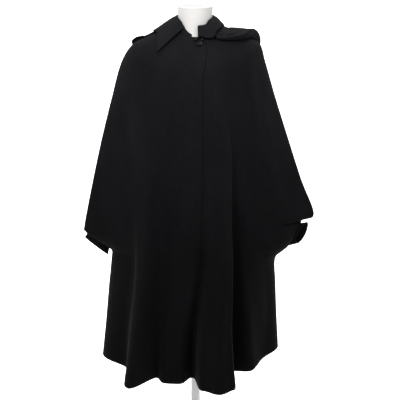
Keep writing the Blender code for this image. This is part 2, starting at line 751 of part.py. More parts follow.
def turned(name, profile, steps, collection, surface):
    # A solid of revolution about Z from radii and heights, top to bottom.
    work = bmesh.new()
    corners = [work.verts.new((radius, 0.0, height)) for radius, height in profile]
    for start, end in zip(corners, corners[1:]):
        work.edges.new((start, end))
    mesh = bpy.data.meshes.new(name)
    work.to_mesh(mesh)
    work.free()
    item = add_object(name, mesh, collection, surface)
    screw = item.modifiers.new("turned", "SCREW")
    screw.steps = steps
    screw.render_steps = steps
    screw.use_merge_vertices = True
    screw.merge_threshold = 0.00001
    screw.use_smooth_shade = False
    return item


def form_rings():
    # Closed rings of the form, from the neck's slanted top down to its flat underside.
    quarters = []
    for half, sign in (("front", 1.0), ("back", -1.0)):
        for index in range(2 * FORM_COLUMNS_PER_QUARTER):
            place = -1.0 + index / FORM_COLUMNS_PER_QUARTER
            quarters.append((half, place * sign))
    rings = []
    tilt = math.tan(math.radians(NECK_TILT_DEG))

    def neck_ring(z, half_width, half_depth, slope):
        ring = []
        for half, place in quarters:
            angle = place * math.pi / 2.0
            y = -half_depth * math.cos(angle) if half == "front" else half_depth * math.cos(angle)
            x = half_width * math.sin(angle)
            ring.append(Vector((x, y, z + y * slope)))
        return ring

    rings.append(neck_ring(NECK_TOP_Z, NECK_TOP_RADIUS, NECK_TOP_RADIUS, tilt))
    for row in records(NECK_COLUMNS, NECK):
        rings.append(neck_ring(row["z"], row["half_width"], row["half_depth"], row["slope"]))
    for level in FORM_SHOULDER_LEVELS:
        ring = []
        for half, place in quarters:
            doubled = 0.0
            if half == "front":
                doubled = min(1.0, max(0.0, (FORM_DOUBLE_START - abs(place)) / FORM_DOUBLE_FADE))
            inset = WALL + FORM_CLEARANCE + doubled * (WALL + LAYER_GAP)
            ring.append(surface_point(half, place, level)
                        - surface_normal(half, place, level) * inset)
        rings.append(ring)
    for row in records(TORSO_COLUMNS, TORSO):
        ring = []
        for half, place in quarters:
            angle = place * math.pi / 2.0
            depth = -row["front"] if half == "front" else row["back"]
            ring.append(Vector((
                row["half_width"] * math.sin(angle),
                depth * math.cos(angle),
                row["z"] + row["side_rise"] * math.sin(angle) ** 2)))
        rings.append(ring)
    return rings


def build_form(collection, surface):
    rings = form_rings()
    work = bmesh.new()
    rows = [[work.verts.new(point) for point in ring] for ring in rings]
    count = len(rows[0])
    for upper, lower in zip(rows, rows[1:]):
        for index in range(count):
            after = (index + 1) % count
            work.faces.new((upper[index], lower[index], lower[after], upper[after]))
    work.faces.new(rows[0])
    work.faces.new(tuple(reversed(rows[-1])))
    bmesh.ops.recalc_face_normals(work, faces=work.faces)
    mesh = bpy.data.meshes.new("form_body")
    work.to_mesh(mesh)
    work.free()
    smooth(add_object("form_body", mesh, collection, surface), 50.0)


def build_stand(collection, surface):
    base_profile = (
        (0.0, BASE_THICKNESS),
        (BASE_RADIUS - BASE_EDGE, BASE_THICKNESS),
        (BASE_RADIUS - BASE_EDGE * 0.3, BASE_THICKNESS - BASE_EDGE * 0.3),
        (BASE_RADIUS, BASE_THICKNESS - BASE_EDGE),
        (BASE_RADIUS, 0.0),
        (0.0, 0.0),
    )
    turned("base", base_profile, BASE_SIDES, collection, surface)
    foot = BASE_THICKNESS + SEAM_GAP
    top = TORSO[-1][0] - SEAM_GAP
    pole_profile = (
        (0.0, top),
        (POLE_RADIUS, top),
        (POLE_RADIUS, foot + FITTING_HEIGHT),
        (FITTING_RADIUS * 0.8, foot + FITTING_HEIGHT),
        (FITTING_RADIUS, foot + FITTING_HEIGHT * 0.85),
        (FITTING_RADIUS, foot),
        (0.0, foot),
    )
    turned("pole", pole_profile, POLE_SIDES, collection, surface)


def main():
    tidy_scene()
    cape = bpy.data.collections.new("cape_on_dress_form")
    cutters = bpy.data.collections.new("cutters")
    bpy.context.scene.collection.children.link(cape)
    bpy.context.scene.collection.children.link(cutters)
    wool = material("wool")
    fronts = build_fronts(cape, wool)
    back_rows = build_back(cape, wool)
    build_cuffs(cape, wool, fronts, back_rows)
    build_collar_stand(cape, wool)
    build_collar_fall(cape, wool)
    build_hood(cape, wool)
    build_button(cape, material("button"))
    build_form(cape, material("form"))
    build_stand(cape, material("stand"))


main()
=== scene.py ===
import math
import bpy
import bmesh
import numpy as np
from mathutils import Matrix, Vector


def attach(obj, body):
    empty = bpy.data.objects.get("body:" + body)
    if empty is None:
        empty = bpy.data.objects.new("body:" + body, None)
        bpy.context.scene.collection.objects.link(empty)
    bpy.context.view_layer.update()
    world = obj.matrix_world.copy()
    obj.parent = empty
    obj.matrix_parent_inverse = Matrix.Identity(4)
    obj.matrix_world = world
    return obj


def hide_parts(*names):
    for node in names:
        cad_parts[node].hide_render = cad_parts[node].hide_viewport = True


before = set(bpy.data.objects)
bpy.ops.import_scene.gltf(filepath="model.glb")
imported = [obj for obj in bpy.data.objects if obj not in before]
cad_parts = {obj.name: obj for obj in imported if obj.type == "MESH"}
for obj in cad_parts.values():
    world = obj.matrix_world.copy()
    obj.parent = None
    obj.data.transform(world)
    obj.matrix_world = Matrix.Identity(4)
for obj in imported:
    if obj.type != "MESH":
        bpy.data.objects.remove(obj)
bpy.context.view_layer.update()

# Heavy wool cape on a white dress form. Front is -Y, wearer's left is +X, metres.

cloth = {
    "wall": 0.0022,          # one layer of coating wool
    "seamGap": 0.0003,
    "layerGap": 0.0006,      # between layers that lie on each other
    "edgeRound": 0.40,       # how far a cut edge bulges, in walls
    "hemBand": 0.034,        # turned-up hem, seen as a faint step
    "hemStep": 0.0006,
    "hemFade": 0.006,        # width of that step
    "evenness": 0.0011,      # slow unevenness of the hanging cloth
}

# sections from neckline to hem: centre lines of front and back, side edges, where the top front
# edge lies, the half width of the part over the body, and the plan outline (power, bow)
sectionColumns = ("name", "frontZ", "frontY", "backZ", "backY",
                  "rightX", "rightZ", "leftX", "leftZ", "edgeX", "bodyX", "power", "bow")
sectionTable = (
    ("neckline",       1.258, -0.064, 1.286, 0.060, 0.066, 1.292, 0.066, 1.292, 0.026, 0.1870, 2.0, 0.50),
    ("collarbone",     1.228, -0.080, 1.263, 0.084, 0.100, 1.279, 0.100, 1.279, 0.030, 0.1870, 2.0, 0.50),
    ("shoulder slope", 1.190, -0.099, 1.228, 0.104, 0.142, 1.260, 0.144, 1.260, 0.030, 0.1870, 2.1, 0.50),
    ("shoulder point", 1.145, -0.116, 1.185, 0.118, 0.184, 1.239, 0.189, 1.241, 0.022, 0.1870, 2.1, 0.52),
    ("upper arm",      1.080, -0.129, 1.120, 0.126, 0.219, 1.185, 0.208, 1.185, 0.020, 0.1870, 1.9, 0.60),
    ("chest",          0.990, -0.137, 1.020, 0.131, 0.248, 1.085, 0.238, 1.085, 0.020, 0.1870, 1.75, 0.72),
    ("elbow",          0.890, -0.143, 0.910, 0.135, 0.282, 0.955, 0.279, 0.960, 0.021, 0.1870, 1.60, 0.86),
    ("forearm",        0.800, -0.147, 0.810, 0.139, 0.313, 0.820, 0.320, 0.838, 0.019, 0.1855, 1.56, 0.94),
    ("sleeve corner",  0.727, -0.150, 0.731, 0.142, 0.339, 0.694, 0.361, 0.731, 0.017, 0.1838, 1.56, 0.97),
    ("cuff top",       0.696, -0.152, 0.699, 0.144, 0.335, 0.676, 0.323, 0.709, 0.017, 0.1824, 1.62, 0.90),
    ("cuff middle",    0.661, -0.154, 0.662, 0.146, 0.297, 0.649, 0.300, 0.665, 0.017, 0.1805, 1.75, 0.78),
    ("cuff bottom",    0.626, -0.155, 0.626, 0.148, 0.259, 0.622, 0.275, 0.624, 0.017, 0.1784, 1.92, 0.65),
    ("underarm",       0.588, -0.156, 0.588, 0.150, 0.258, 0.590, 0.245, 0.596, 0.014, 0.1764, 2.14, 0.53),
    ("thigh",          0.500, -0.160, 0.500, 0.156, 0.267, 0.507, 0.247, 0.512, 0.004, 0.1777, 2.14, 0.50),
    ("knee",           0.385, -0.166, 0.388, 0.165, 0.278, 0.395, 0.252, 0.408, -0.010, 0.1814, 2.2, 0.46),
    ("hem",            0.258, -0.172, 0.268, 0.175, 0.290, 0.290, 0.258, 0.313, -0.015, 0.1857, 2.2, 0.45),
)
sections = [dict(zip(sectionColumns, row)) for row in sectionTable]
sectionKeys = sectionColumns[1:]
sectionValues = np.array([row[1:] for row in sectionTable])
levelOf = {row["name"]: index for index, row in enumerate(sections)}
hemLevel = len(sections) - 1

shape = {
    "sideRise": 2.2,         # how late a section climbs to its side height
    "bodyShare": 0.70,       # part of a panel over the body, the rest is the wing
    "bodyPart": 0.72,
    "foldGrowth": 1.25,      # folds deepen faster towards the hem
    "samples": 140,
    "foldSoftness": {"right": 0.030, "left": 0.009},     # half width a fold is rounded over, a share
    "softSteps": (-1.0, -0.5, 0.0, 0.5, 1.0),
    "softEnds": 0.08,        # share over which the rounding fades at both sides of a panel
    "placeStep": 0.015,      # half steps that the directions across and down are taken over
    "levelStep": 0.05,
}

# folds that grow from startZ to the hem: name, share at the top, share at the hem, out, startZ
foldColumns = ("name", "top", "hem", "out", "startZ")
foldTable = {
    ("front", "right"): (
        ("front edge", 0.00, 0.00, -0.036, 0.72),
        ("flat lobe, inner side", 0.05, 0.10, 0.012, 0.72),
        ("flat lobe, outer side", 0.24, 0.31, 0.014, 0.85),
        ("deep valley", 0.38, 0.40, -0.022, 0.88),
        ("side lobe", 0.52, 0.58, 0.096, 0.90),
        ("side lobe, back of it", 0.60, 0.64, 0.080, 0.85),
        ("side valley", 0.76, 0.76, -0.030, 0.80),
        ("side", 1.00, 1.00, 0.0, 0.60),
    ),
    ("front", "left"): (
        ("front edge", 0.00, 0.00, -0.036, 0.72),
        ("flat beside the edge", 0.03, 0.03, -0.036, 0.72),
        ("main lobe, inner side", 0.09, 0.11, 0.060, 0.95),
        ("main lobe", 0.16, 0.26, 0.098, 1.16),
        ("main lobe, sharp side", 0.22, 0.385, 0.078, 1.16),
        ("dark valley", 0.32, 0.47, -0.050, 1.14),
        ("low ridge", 0.55, 0.66, -0.006, 0.70),
        ("side hollow", 0.74, 0.80, -0.026, 0.65),
        ("side", 1.00, 1.00, 0.0, 0.60),
    ),
    ("back", "right"): (
        ("centre back", 0.00, 0.00, 0.060, 0.95),
        ("first valley", 0.16, 0.20, -0.034, 0.90),
        ("first lobe", 0.30, 0.40, 0.068, 0.88),
        ("second valley", 0.46, 0.56, -0.040, 0.80),
        ("second lobe", 0.62, 0.74, 0.048, 0.72),
        ("side hollow", 0.80, 0.88, -0.022, 0.60),
        ("side", 1.00, 1.00, 0.0, 0.60),
    ),
    ("back", "left"): (
        ("centre back", 0.00, 0.00, 0.060, 0.95),
        ("first valley", 0.18, 0.22, -0.040, 0.92),
        ("first lobe", 0.34, 0.43, 0.058, 0.90),
        ("second valley", 0.50, 0.60, -0.032, 0.76),
        ("second lobe", 0.66, 0.77, 0.052, 0.70),
        ("side hollow", 0.82, 0.90, -0.018, 0.60),
        ("side", 1.00, 1.00, 0.0, 0.60),
    ),
}
folds = {key: [dict(zip(foldColumns, row)) for row in rows] for key, rows in foldTable.items()}

# creases in the front or back view: from x, z to x, z, half width, height
creaseColumns = ("half", "x1", "z1", "x2", "z2", "width", "height")
creaseTable = (
    # the main fold's ridge and the dark hollow beside it
    ("front", 0.060, 1.120, 0.084, 0.720, 0.015, 0.0066),
    ("front", 0.118, 1.120, 0.140, 0.690, 0.021, -0.0084),
    # drag lines from the left shoulder point down the wing
    ("front", 0.164, 1.205, 0.186, 0.985, 0.010, 0.0044),
    ("front", 0.186, 1.150, 0.198, 1.010, 0.009, -0.0036),
    ("front", 0.202, 1.100, 0.216, 0.980, 0.009, 0.0038),
    ("front", 0.226, 0.960, 0.238, 0.800, 0.012, 0.0040),
    ("front", 0.198, 0.750, 0.210, 0.650, 0.022, 0.0052),
    ("front", 0.252, 0.860, 0.286, 0.745, 0.018, -0.0036),
    # upper right: a faint fold and its shadow
    ("front", -0.166, 1.060, -0.148, 0.860, 0.015, 0.0050),
    ("front", -0.130, 1.080, -0.112, 0.740, 0.018, -0.0064),
    ("front", -0.206, 1.010, -0.196, 0.760, 0.020, -0.0038),
    ("front", -0.262, 0.880, -0.240, 0.690, 0.022, 0.0044),
    ("front", -0.226, 0.840, -0.204, 0.640, 0.018, -0.0038),
    # middle of the right front
    ("front", -0.084, 1.050, -0.078, 0.800, 0.022, 0.0026),
    ("front", -0.036, 1.060, -0.030, 0.760, 0.020, -0.0040),
    ("front", 0.000, 1.040, 0.002, 0.840, 0.014, 0.0030),
    ("front", -0.006, 0.770, -0.030, 0.690, 0.011, 0.0040),
    ("front", -0.030, 0.600, -0.038, 0.340, 0.016, -0.0032),
    ("front", -0.072, 0.640, -0.078, 0.300, 0.016, 0.0028),
    ("front", -0.104, 0.700, -0.112, 0.420, 0.015, -0.0030),
    # left front, between the folds
    ("front", 0.042, 1.080, 0.044, 0.800, 0.013, -0.0024),
    ("front", 0.136, 0.700, 0.146, 0.400, 0.014, -0.0040),
    ("front", 0.170, 0.640, 0.176, 0.340, 0.013, 0.0044),
    ("front", 0.202, 0.600, 0.210, 0.330, 0.014, -0.0040),
    # back: drag lines from both shoulders, and uneven falls between the folds
    ("back", 0.160, 1.150, 0.182, 0.930, 0.013, 0.0040),
    ("back", 0.192, 1.080, 0.206, 0.900, 0.011, -0.0036),
    ("back", -0.162, 1.130, -0.178, 0.920, 0.013, 0.0038),
    ("back", -0.196, 1.060, -0.214, 0.860, 0.012, -0.0036),
    ("back", 0.040, 1.000, 0.046, 0.760, 0.018, -0.0028),
    ("back", -0.052, 0.960, -0.060, 0.720, 0.018, 0.0030),
    ("back", 0.236, 0.860, 0.262, 0.700, 0.020, 0.0040),
    ("back", -0.240, 0.880, -0.262, 0.690, 0.020, 0.0036),
    ("back", 0.120, 0.560, 0.126, 0.330, 0.014, -0.0036),
    ("back", -0.128, 0.600, -0.134, 0.360, 0.014, 0.0034),
    ("back", 0.196, 0.520, 0.204, 0.320, 0.013, 0.0036),
    ("back", -0.206, 0.520, -0.214, 0.330, 0.013, -0.0034),
)
creases = [dict(zip(creaseColumns, row)) for row in creaseTable]
creaseMake = {
    "bow": 0.06,             # sideways bow of a crease, in its lengths
    "fade": 0.35,            # and how far it runs out past its ends
    "endShare": 0.35,        # height left at its ends
    "endHold": 0.03,
}


def between(values, place):
    # Catmull-Rom through evenly spaced rows
    index = min(max(int(math.floor(place)), 0), len(values) - 2)
    t = place - index
    p0, p1 = values[max(index - 1, 0)], values[index]
    p2, p3 = values[index + 1], values[min(index + 2, len(values) - 1)]
    return 0.5 * (2 * p1 + (p2 - p0) * t + (2 * p0 - 5 * p1 + 4 * p2 - p3) * t ** 2
                  + (3 * p1 - p0 - 3 * p2 + p3) * t ** 3)


def smooth(part):
    return part * part * (3 - 2 * part)


def sectionAt(level):
    return dict(zip(sectionKeys, between(sectionValues, level)))


cuffOpening = {"right": 0.013, "left": 0.024}   # half the depth of each sleeve end
quarterCache = {}


def quarter(half, side, level):
    # points of one quarter section from centre to side, and the panel share of each
    key = (half, side, round(float(level), 5))
    if key in quarterCache:
        return quarterCache[key]
    row = sectionAt(level)
    sign = -1.0 if side == "right" else 1.0
    top, bottom = levelOf["sleeve corner"] + 0.999, levelOf["cuff bottom"] + 0.001
    sideY = 0.0
    if top < level < bottom:
        part = (level - top) / (bottom - top)
        reach = cuffOpening[side] * math.sqrt(max(0.0, 1.0 - (2.0 * part - 1.0) ** 2))
        sideY = -reach if half == "front" else reach
    across = np.sin(np.linspace(0.0, math.pi / 2.0, shape["samples"] + 1))
    bow = np.maximum(0.0, 1.0 - across ** row["power"]) ** row["bow"]
    width, centreY, centreZ = row[side + "X"], row[half + "Y"], row[half + "Z"]
    points = np.stack((sign * width * across, sideY + (centreY - sideY) * bow,
                       centreZ + (row[side + "Z"] - centreZ) * across ** shape["sideRise"]), 1)
    run = np.concatenate(([0.0], np.cumsum(np.linalg.norm(np.diff(points, axis=0), axis=1))))
    bodyX = min(shape["bodyPart"] * width, row["bodyX"])
    bodyRun = np.interp(bodyX, np.abs(points[:, 0]), run)
    bodyShare = shape["bodyShare"]
    share = np.where(run <= bodyRun, bodyShare * run / bodyRun,
                     bodyShare + (1.0 - bodyShare) * (run - bodyRun) / (run[-1] - bodyRun))
    quarterCache[key] = (points, share)
    return quarterCache[key]


def plainRow(half, places, level):
    # points of a half section at places from -1, right side, to 1, left side
    places = np.clip(places, -1.0, 1.0)
    found = np.zeros((len(places), 3))
    for side, chosen in (("right", places < 0.0), ("left", places >= 0.0)):
        points, share = quarter(half, side, level)
        for axis in range(3):
            found[chosen, axis] = np.interp(np.abs(places[chosen]), share, points[:, axis])
    return found


def edgePlace(level):
    # place of the top front edge on its section
    edgeX = sectionAt(level)["edgeX"]
    points, share = quarter("front", "right" if edgeX < 0.0 else "left", level)
    return math.copysign(np.interp(abs(edgeX), np.abs(points[:, 0]), share), edgeX)


def foldOut(half, side, share, height):
    hemZ = sections[hemLevel][half + "Z"]
    at, out = [], []
    for row in folds[(half, side)]:
        grown = max(0.0, (row["startZ"] - height) / (row["startZ"] - hemZ))
        at.append(row["top"] + (row["hem"] - row["top"]) * min(1.0, grown))
        out.append(row["out"] * grown ** shape["foldGrowth"])
    at, out = np.array(at), np.array(out)
    index = np.clip(np.searchsorted(at, share, side="right") - 1, 0, len(at) - 2)
    part = np.clip((share - at[index]) / (at[index + 1] - at[index]), 0.0, 1.0)
    return out[index] + (out[index + 1] - out[index]) * (1.0 - np.cos(math.pi * part)) / 2.0


def softFoldOut(half, side, share, height):
    # heavy wool rounds the ridges and hollows
    fromSide = np.minimum(share, 1.0 - share) / shape["softEnds"]
    spread = shape["foldSoftness"][side] * np.clip(fromSide, 0.0, 1.0)
    steps = shape["softSteps"]
    return sum(foldOut(half, side, share + step * spread, height) for step in steps) / len(steps)


def surfaceRow(half, places, level):
    # outer face of the cape at one level
    places = np.asarray(places, float)
    first = edgePlace(level) if half == "front" else 0.0
    height = sectionAt(level)[half + "Z"]
    out = np.zeros(len(places))
    for side, chosen, last in (("right", places < first, -1.0), ("left", places >= first, 1.0)):
        out[chosen] = softFoldOut(half, side, (places[chosen] - first) / (last - first), height)
    step = shape["placeStep"]
    tangent = plainRow(half, places + step, level) - plainRow(half, places - step, level)
    outward = np.stack((tangent[:, 1], -tangent[:, 0], np.zeros(len(places))), 1)
    outward /= np.linalg.norm(outward, axis=1)[:, None]
    return plainRow(half, places, level) + outward * (out if half == "front" else -out)[:, None]


def gridNormals(grid):
    # normals of a grid whose rows run down and whose columns run to +X on the front
    down = np.gradient(grid, axis=0)
    along = np.gradient(grid, axis=1)
    normal = np.cross(down, along)
    return normal / np.maximum(np.linalg.norm(normal, axis=2), 1e-9)[..., None]


def surfaceAndOut(half, places, level):
    # points on the outer face of the cape, and the way out of it at each
    places = np.asarray(places, float)
    aside, lower = shape["placeStep"], shape["levelStep"]
    across = (surfaceRow(half, np.minimum(places + aside, 1.0), level)
              - surfaceRow(half, np.maximum(places - aside, -1.0), level))
    down = (surfaceRow(half, places, min(hemLevel, level + lower))
            - surfaceRow(half, places, max(0.0, level - lower)))
    out = np.cross(down, across)
    out /= np.linalg.norm(out, axis=1)[:, None]
    return surfaceRow(half, places, level), out if half == "front" else -out


def around(turn, level, lift):
    # a point over the shoulders by its turn round the neck, moved out from the panels
    turn = turn if turn >= -180.0 else turn + 360.0
    half, place = ("front", turn / 90.0) if abs(turn) <= 90.0 else (
        "back", math.copysign((180.0 - abs(turn)) / 90.0, turn))
    here, out = surfaceAndOut(half, [place], level)
    return here[0] + out[0] * lift


def creaseLift(half, grid):
    # soft troughs and ridges, and the slow unevenness of the cloth
    x, y, z = grid[..., 0], grid[..., 1], grid[..., 2]
    lift = np.zeros(x.shape)
    for row in creases:
        if row["half"] != half:
            continue
        dx, dz = row["x2"] - row["x1"], row["z2"] - row["z1"]
        size = dx * dx + dz * dz
        length, hold, endShare = math.sqrt(size), creaseMake["endHold"], creaseMake["endShare"]
        t = ((x - row["x1"]) * dx + (z - row["z1"]) * dz) / size
        bow = creaseMake["bow"] * length * np.sin(math.pi * np.clip(t, 0, 1))
        off = ((x - row["x1"]) * dz - (z - row["z1"]) * dx) / length - math.copysign(1.0, row["height"]) * bow
        ends = smooth(np.clip(1.0 - np.maximum(-t, t - 1.0) / creaseMake["fade"], 0.0, 1.0))
        ends *= endShare + (1.0 - endShare) * np.sin(math.pi * np.clip(t, hold, 1.0 - hold))
        lift += row["height"] * np.exp(-(off / row["width"]) ** 2) * ends
    slow = (np.sin(17.0 * x + 9.0 * z + 1.3) * np.sin(11.0 * z - 6.0 * x + 0.4)
            + 0.6 * np.sin(41.0 * x + 5.0 * z + 2.1 * np.sin(7.0 * z)) * np.sin(19.0 * z + 3.0 * x)
            + 0.4 * np.sin(63.0 * x - 8.0 * z) * np.sin(13.0 * z + 1.0))
    return lift + cloth["evenness"] * slow


def newMesh(name, vertices, faces):
    mesh = bpy.data.meshes.new(name)
    mesh.from_pydata([tuple(map(float, v)) for v in vertices], [], faces)
    mesh.update()
    mesh.shade_smooth()
    item = bpy.data.objects.new(name, mesh)
    bpy.context.scene.collection.objects.link(item)
    return item


def facesOut(mesh):
    work = bmesh.new()
    work.from_mesh(mesh)
    bmesh.ops.recalc_face_normals(work, faces=work.faces)
    work.to_mesh(mesh)
    work.free()


def shell(name, outer, inner, rounded=("top", "bottom", "left", "right"), closed=False):
    # a cloth wall between two grids, with rounded cut edges
    rows, cols = outer.shape[:2]
    vertices = [outer.reshape(-1, 3), inner.reshape(-1, 3)]
    count = rows * cols
    faces = []
    last = cols if closed else cols - 1
    for r in range(rows - 1):
        for c in range(last):
            a, b = r * cols + c, r * cols + (c + 1) % cols
            d, e = a + cols, (r + 1) * cols + (c + 1) % cols
            faces.append((a, d, e, b))
            faces.append((count + a, count + b, count + e, count + d))
    nextIndex = 2 * count
    index = np.arange(count).reshape(rows, cols)
    sides = {"top": (index[0].tolist(), index[1].tolist()),
             "bottom": (index[-1].tolist(), index[-2].tolist())}
    if not closed:
        sides["left"] = (index[:, 0].tolist(), index[:, 1].tolist())
        sides["right"] = (index[:, -1].tolist(), index[:, -2].tolist())
    flatOuter, flatInner = vertices
    corner = {}
    for side, (edge, near) in sides.items():
        middle = (flatOuter[edge] + flatInner[edge]) / 2.0
        away = flatOuter[edge] - flatOuter[near]
        away /= np.maximum(np.linalg.norm(away, axis=1), 1e-9)[:, None]
        bulge = cloth["edgeRound"] * cloth["wall"] if side in rounded else 0.0
        fade = np.ones(len(edge))
        if not closed:
            fade[0] = fade[-1] = 0.5
        loop = []
        for k, vertex in enumerate(edge):
            if not closed and k in (0, len(edge) - 1):
                if vertex not in corner:
                    corner[vertex] = nextIndex
                    vertices.append((middle[k] + away[k] * bulge * fade[k])[None])
                    nextIndex += 1
                loop.append(corner[vertex])
            else:
                vertices.append((middle[k] + away[k] * bulge)[None])
                loop.append(nextIndex)
                nextIndex += 1
        pairs = list(zip(range(len(edge)), range(1, len(edge))))
        if closed:
            pairs.append((len(edge) - 1, 0))
        for i, j in pairs:
            quads = [(edge[i], edge[j], loop[j], loop[i]),
                     (loop[i], loop[j], count + edge[j], count + edge[i])]
            if side in ("bottom", "left"):
                quads = [tuple(reversed(q)) for q in quads]
            faces.extend(quads)
    item = newMesh(name, np.concatenate(vertices), faces)
    facesOut(item.data)
    return item


def outwardGrid(grid, sample):
    # normals that point the way sample does at the grid's middle
    normals = gridNormals(grid)
    middle = normals[grid.shape[0] // 2, grid.shape[1] // 2]
    return normals if float(np.dot(middle, sample)) > 0.0 else -normals


def clothArea(grid, closed=False):
    cells = np.concatenate((grid, grid[:, :1]), axis=1) if closed else grid
    a = np.cross(cells[1:, :-1] - cells[:-1, :-1], cells[1:, 1:] - cells[:-1, :-1])
    b = np.cross(cells[1:, 1:] - cells[:-1, :-1], cells[:-1, 1:] - cells[:-1, :-1])
    return float((np.linalg.norm(a, axis=2) + np.linalg.norm(b, axis=2)).sum() / 2.0)


def clothCut(grid, closed=False):
    cells = np.concatenate((grid, grid[:, :1]), axis=1) if closed else grid
    width = np.linalg.norm(np.diff(cells, axis=1), axis=2).sum(1).max()
    length = np.linalg.norm(np.diff(cells, axis=0), axis=2).sum(0).max()
    return round(float(width), 3), round(float(length), 3)


# procedural wool; each noise is scale, detail, roughness and, where it has one, stretch
woolLook = {
    "dark": (0.0060, 0.0062, 0.0072),
    "light": (0.0124, 0.0127, 0.0142),
    "roughness": 0.95,
    "sheen": 0.02,
    "specular": 0.04,
    "roughSpread": 0.10,
    "sheenRoughness": 0.45,
    "sheenTint": (0.62, 0.62, 0.66),
    "fibre": (900.0, 5.0, 0.7),              # fine felted fibres
    "nap": (210.0, 6.0, 0.65, (1.0, 1.0, 0.35)),         # clumps of the brushed face
    "cloud": (9.0, 3.0, 0.5, (1.0, 1.0, 0.45)),          # broad patches
    "mix": {"nap": 0.38, "fibre": 0.22, "cloud": 0.40},
    "stops": (0.36, 0.64),   # of the mix, dark and light
    "bump": 0.35,
    "napDepth": 0.0010,
    "fibreDepth": 0.0004,
    # painted shade: height and tone, the wool painted darker low down where less light falls
    "paintedShadeTones": ((0.26, 0.35), (0.62, 0.47), (0.92, 0.72), (1.16, 1.0)),
}


def nodesOf(name):
    material = bpy.data.materials.new(name)
    material.use_nodes = True
    tree = material.node_tree
    return material, tree, tree.nodes["Principled BSDF"]


def noiseNode(tree, coordinates, scale, detail=4.0, roughness=0.6, stretch=(1.0, 1.0, 1.0)):
    mapping = tree.nodes.new("ShaderNodeMapping")
    mapping.inputs["Scale"].default_value = stretch
    tree.links.new(coordinates, mapping.inputs["Vector"])
    noise = tree.nodes.new("ShaderNodeTexNoise")
    noise.inputs["Scale"].default_value = scale
    noise.inputs["Detail"].default_value = detail
    noise.inputs["Roughness"].default_value = roughness
    tree.links.new(mapping.outputs["Vector"], noise.inputs["Vector"])
    return noise.outputs["Fac"]


def rampNode(tree, factor, stops):
    ramp = tree.nodes.new("ShaderNodeValToRGB")
    first, last = ramp.color_ramp.elements[0], ramp.color_ramp.elements[1]
    first.position, first.color = stops[0][0], (*stops[0][1], 1.0)
    last.position, last.color = stops[-1][0], (*stops[-1][1], 1.0)
    for place, colour in stops[1:-1]:
        ramp.color_ramp.elements.new(place).color = (*colour, 1.0)
    tree.links.new(factor, ramp.inputs["Fac"])
    return ramp.outputs["Color"]


def greyRamp(tree, factor, greys, places=(0.3, 0.7)):
    return rampNode(tree, factor, [(place, (grey,) * 3) for place, grey in zip(places, greys)])


def mathNode(tree, operation, first, second):
    node = tree.nodes.new("ShaderNodeMath")
    node.operation = operation
    for socket, value in zip(node.inputs, (first, second)):
        if isinstance(value, (int, float)):
            socket.default_value = value
        else:
            tree.links.new(value, socket)
    return node.outputs[0]


def bumpNode(tree, height, strength, distance, before=None):
    bump = tree.nodes.new("ShaderNodeBump")
    bump.inputs["Strength"].default_value = strength
    bump.inputs["Distance"].default_value = distance
    tree.links.new(height, bump.inputs["Height"])
    if before is not None:
        tree.links.new(before, bump.inputs["Normal"])
    return bump.outputs["Normal"]


def makeWool(name, lift=1.0):
    material, tree, shader = nodesOf(name)
    place = tree.nodes.new("ShaderNodeTexCoord").outputs["Object"]
    fibre = noiseNode(tree, place, *woolLook["fibre"])
    nap = noiseNode(tree, place, *woolLook["nap"])
    cloud = noiseNode(tree, place, *woolLook["cloud"])
    mix = woolLook["mix"]
    mixed = mathNode(tree, "ADD", mathNode(tree, "MULTIPLY", nap, mix["nap"]),
                     mathNode(tree, "ADD", mathNode(tree, "MULTIPLY", fibre, mix["fibre"]),
                              mathNode(tree, "MULTIPLY", cloud, mix["cloud"])))
    dark = tuple(lift * v for v in woolLook["dark"])
    light = tuple(lift * v for v in woolLook["light"])
    colour = rampNode(tree, mixed, list(zip(woolLook["stops"], (dark, light))))
    # painted shade: the wool's colour is multiplied darker towards the hem, by height
    apart = tree.nodes.new("ShaderNodeSeparateXYZ")
    tree.links.new(place, apart.inputs["Vector"])
    heights = [height for height, tone in woolLook["paintedShadeTones"]]
    rise = tree.nodes.new("ShaderNodeMapRange")
    rise.inputs["From Min"].default_value, rise.inputs["From Max"].default_value = heights[0], heights[-1]
    tree.links.new(apart.outputs["Z"], rise.inputs["Value"])
    span = heights[-1] - heights[0]
    stops = [((height - heights[0]) / span, (tone,) * 3) for height, tone in woolLook["paintedShadeTones"]]
    paintedShadeMix = tree.nodes.new("ShaderNodeMix")
    paintedShadeMix.data_type, paintedShadeMix.blend_type = "RGBA", "MULTIPLY"
    paintedShadeMix.inputs["Factor"].default_value = 1.0
    tree.links.new(colour, paintedShadeMix.inputs["A"])
    tree.links.new(rampNode(tree, rise.outputs["Result"], stops), paintedShadeMix.inputs["B"])
    tree.links.new(paintedShadeMix.outputs["Result"], shader.inputs["Base Color"])
    rough = mathNode(tree, "ADD", mathNode(tree, "MULTIPLY", fibre, woolLook["roughSpread"]),
                     woolLook["roughness"] - woolLook["roughSpread"] / 2.0)
    tree.links.new(rough, shader.inputs["Roughness"])
    first = bumpNode(tree, nap, woolLook["bump"], woolLook["napDepth"])
    tree.links.new(bumpNode(tree, fibre, woolLook["bump"], woolLook["fibreDepth"], first),
                   shader.inputs["Normal"])
    shader.inputs["Sheen Weight"].default_value = woolLook["sheen"]
    shader.inputs["Sheen Roughness"].default_value = woolLook["sheenRoughness"]
    shader.inputs["Sheen Tint"].default_value = (*woolLook["sheenTint"], 1.0)
    shader.inputs["Specular IOR Level"].default_value = woolLook["specular"]
    return material


wool = makeWool("blackWool")
print("wool made")

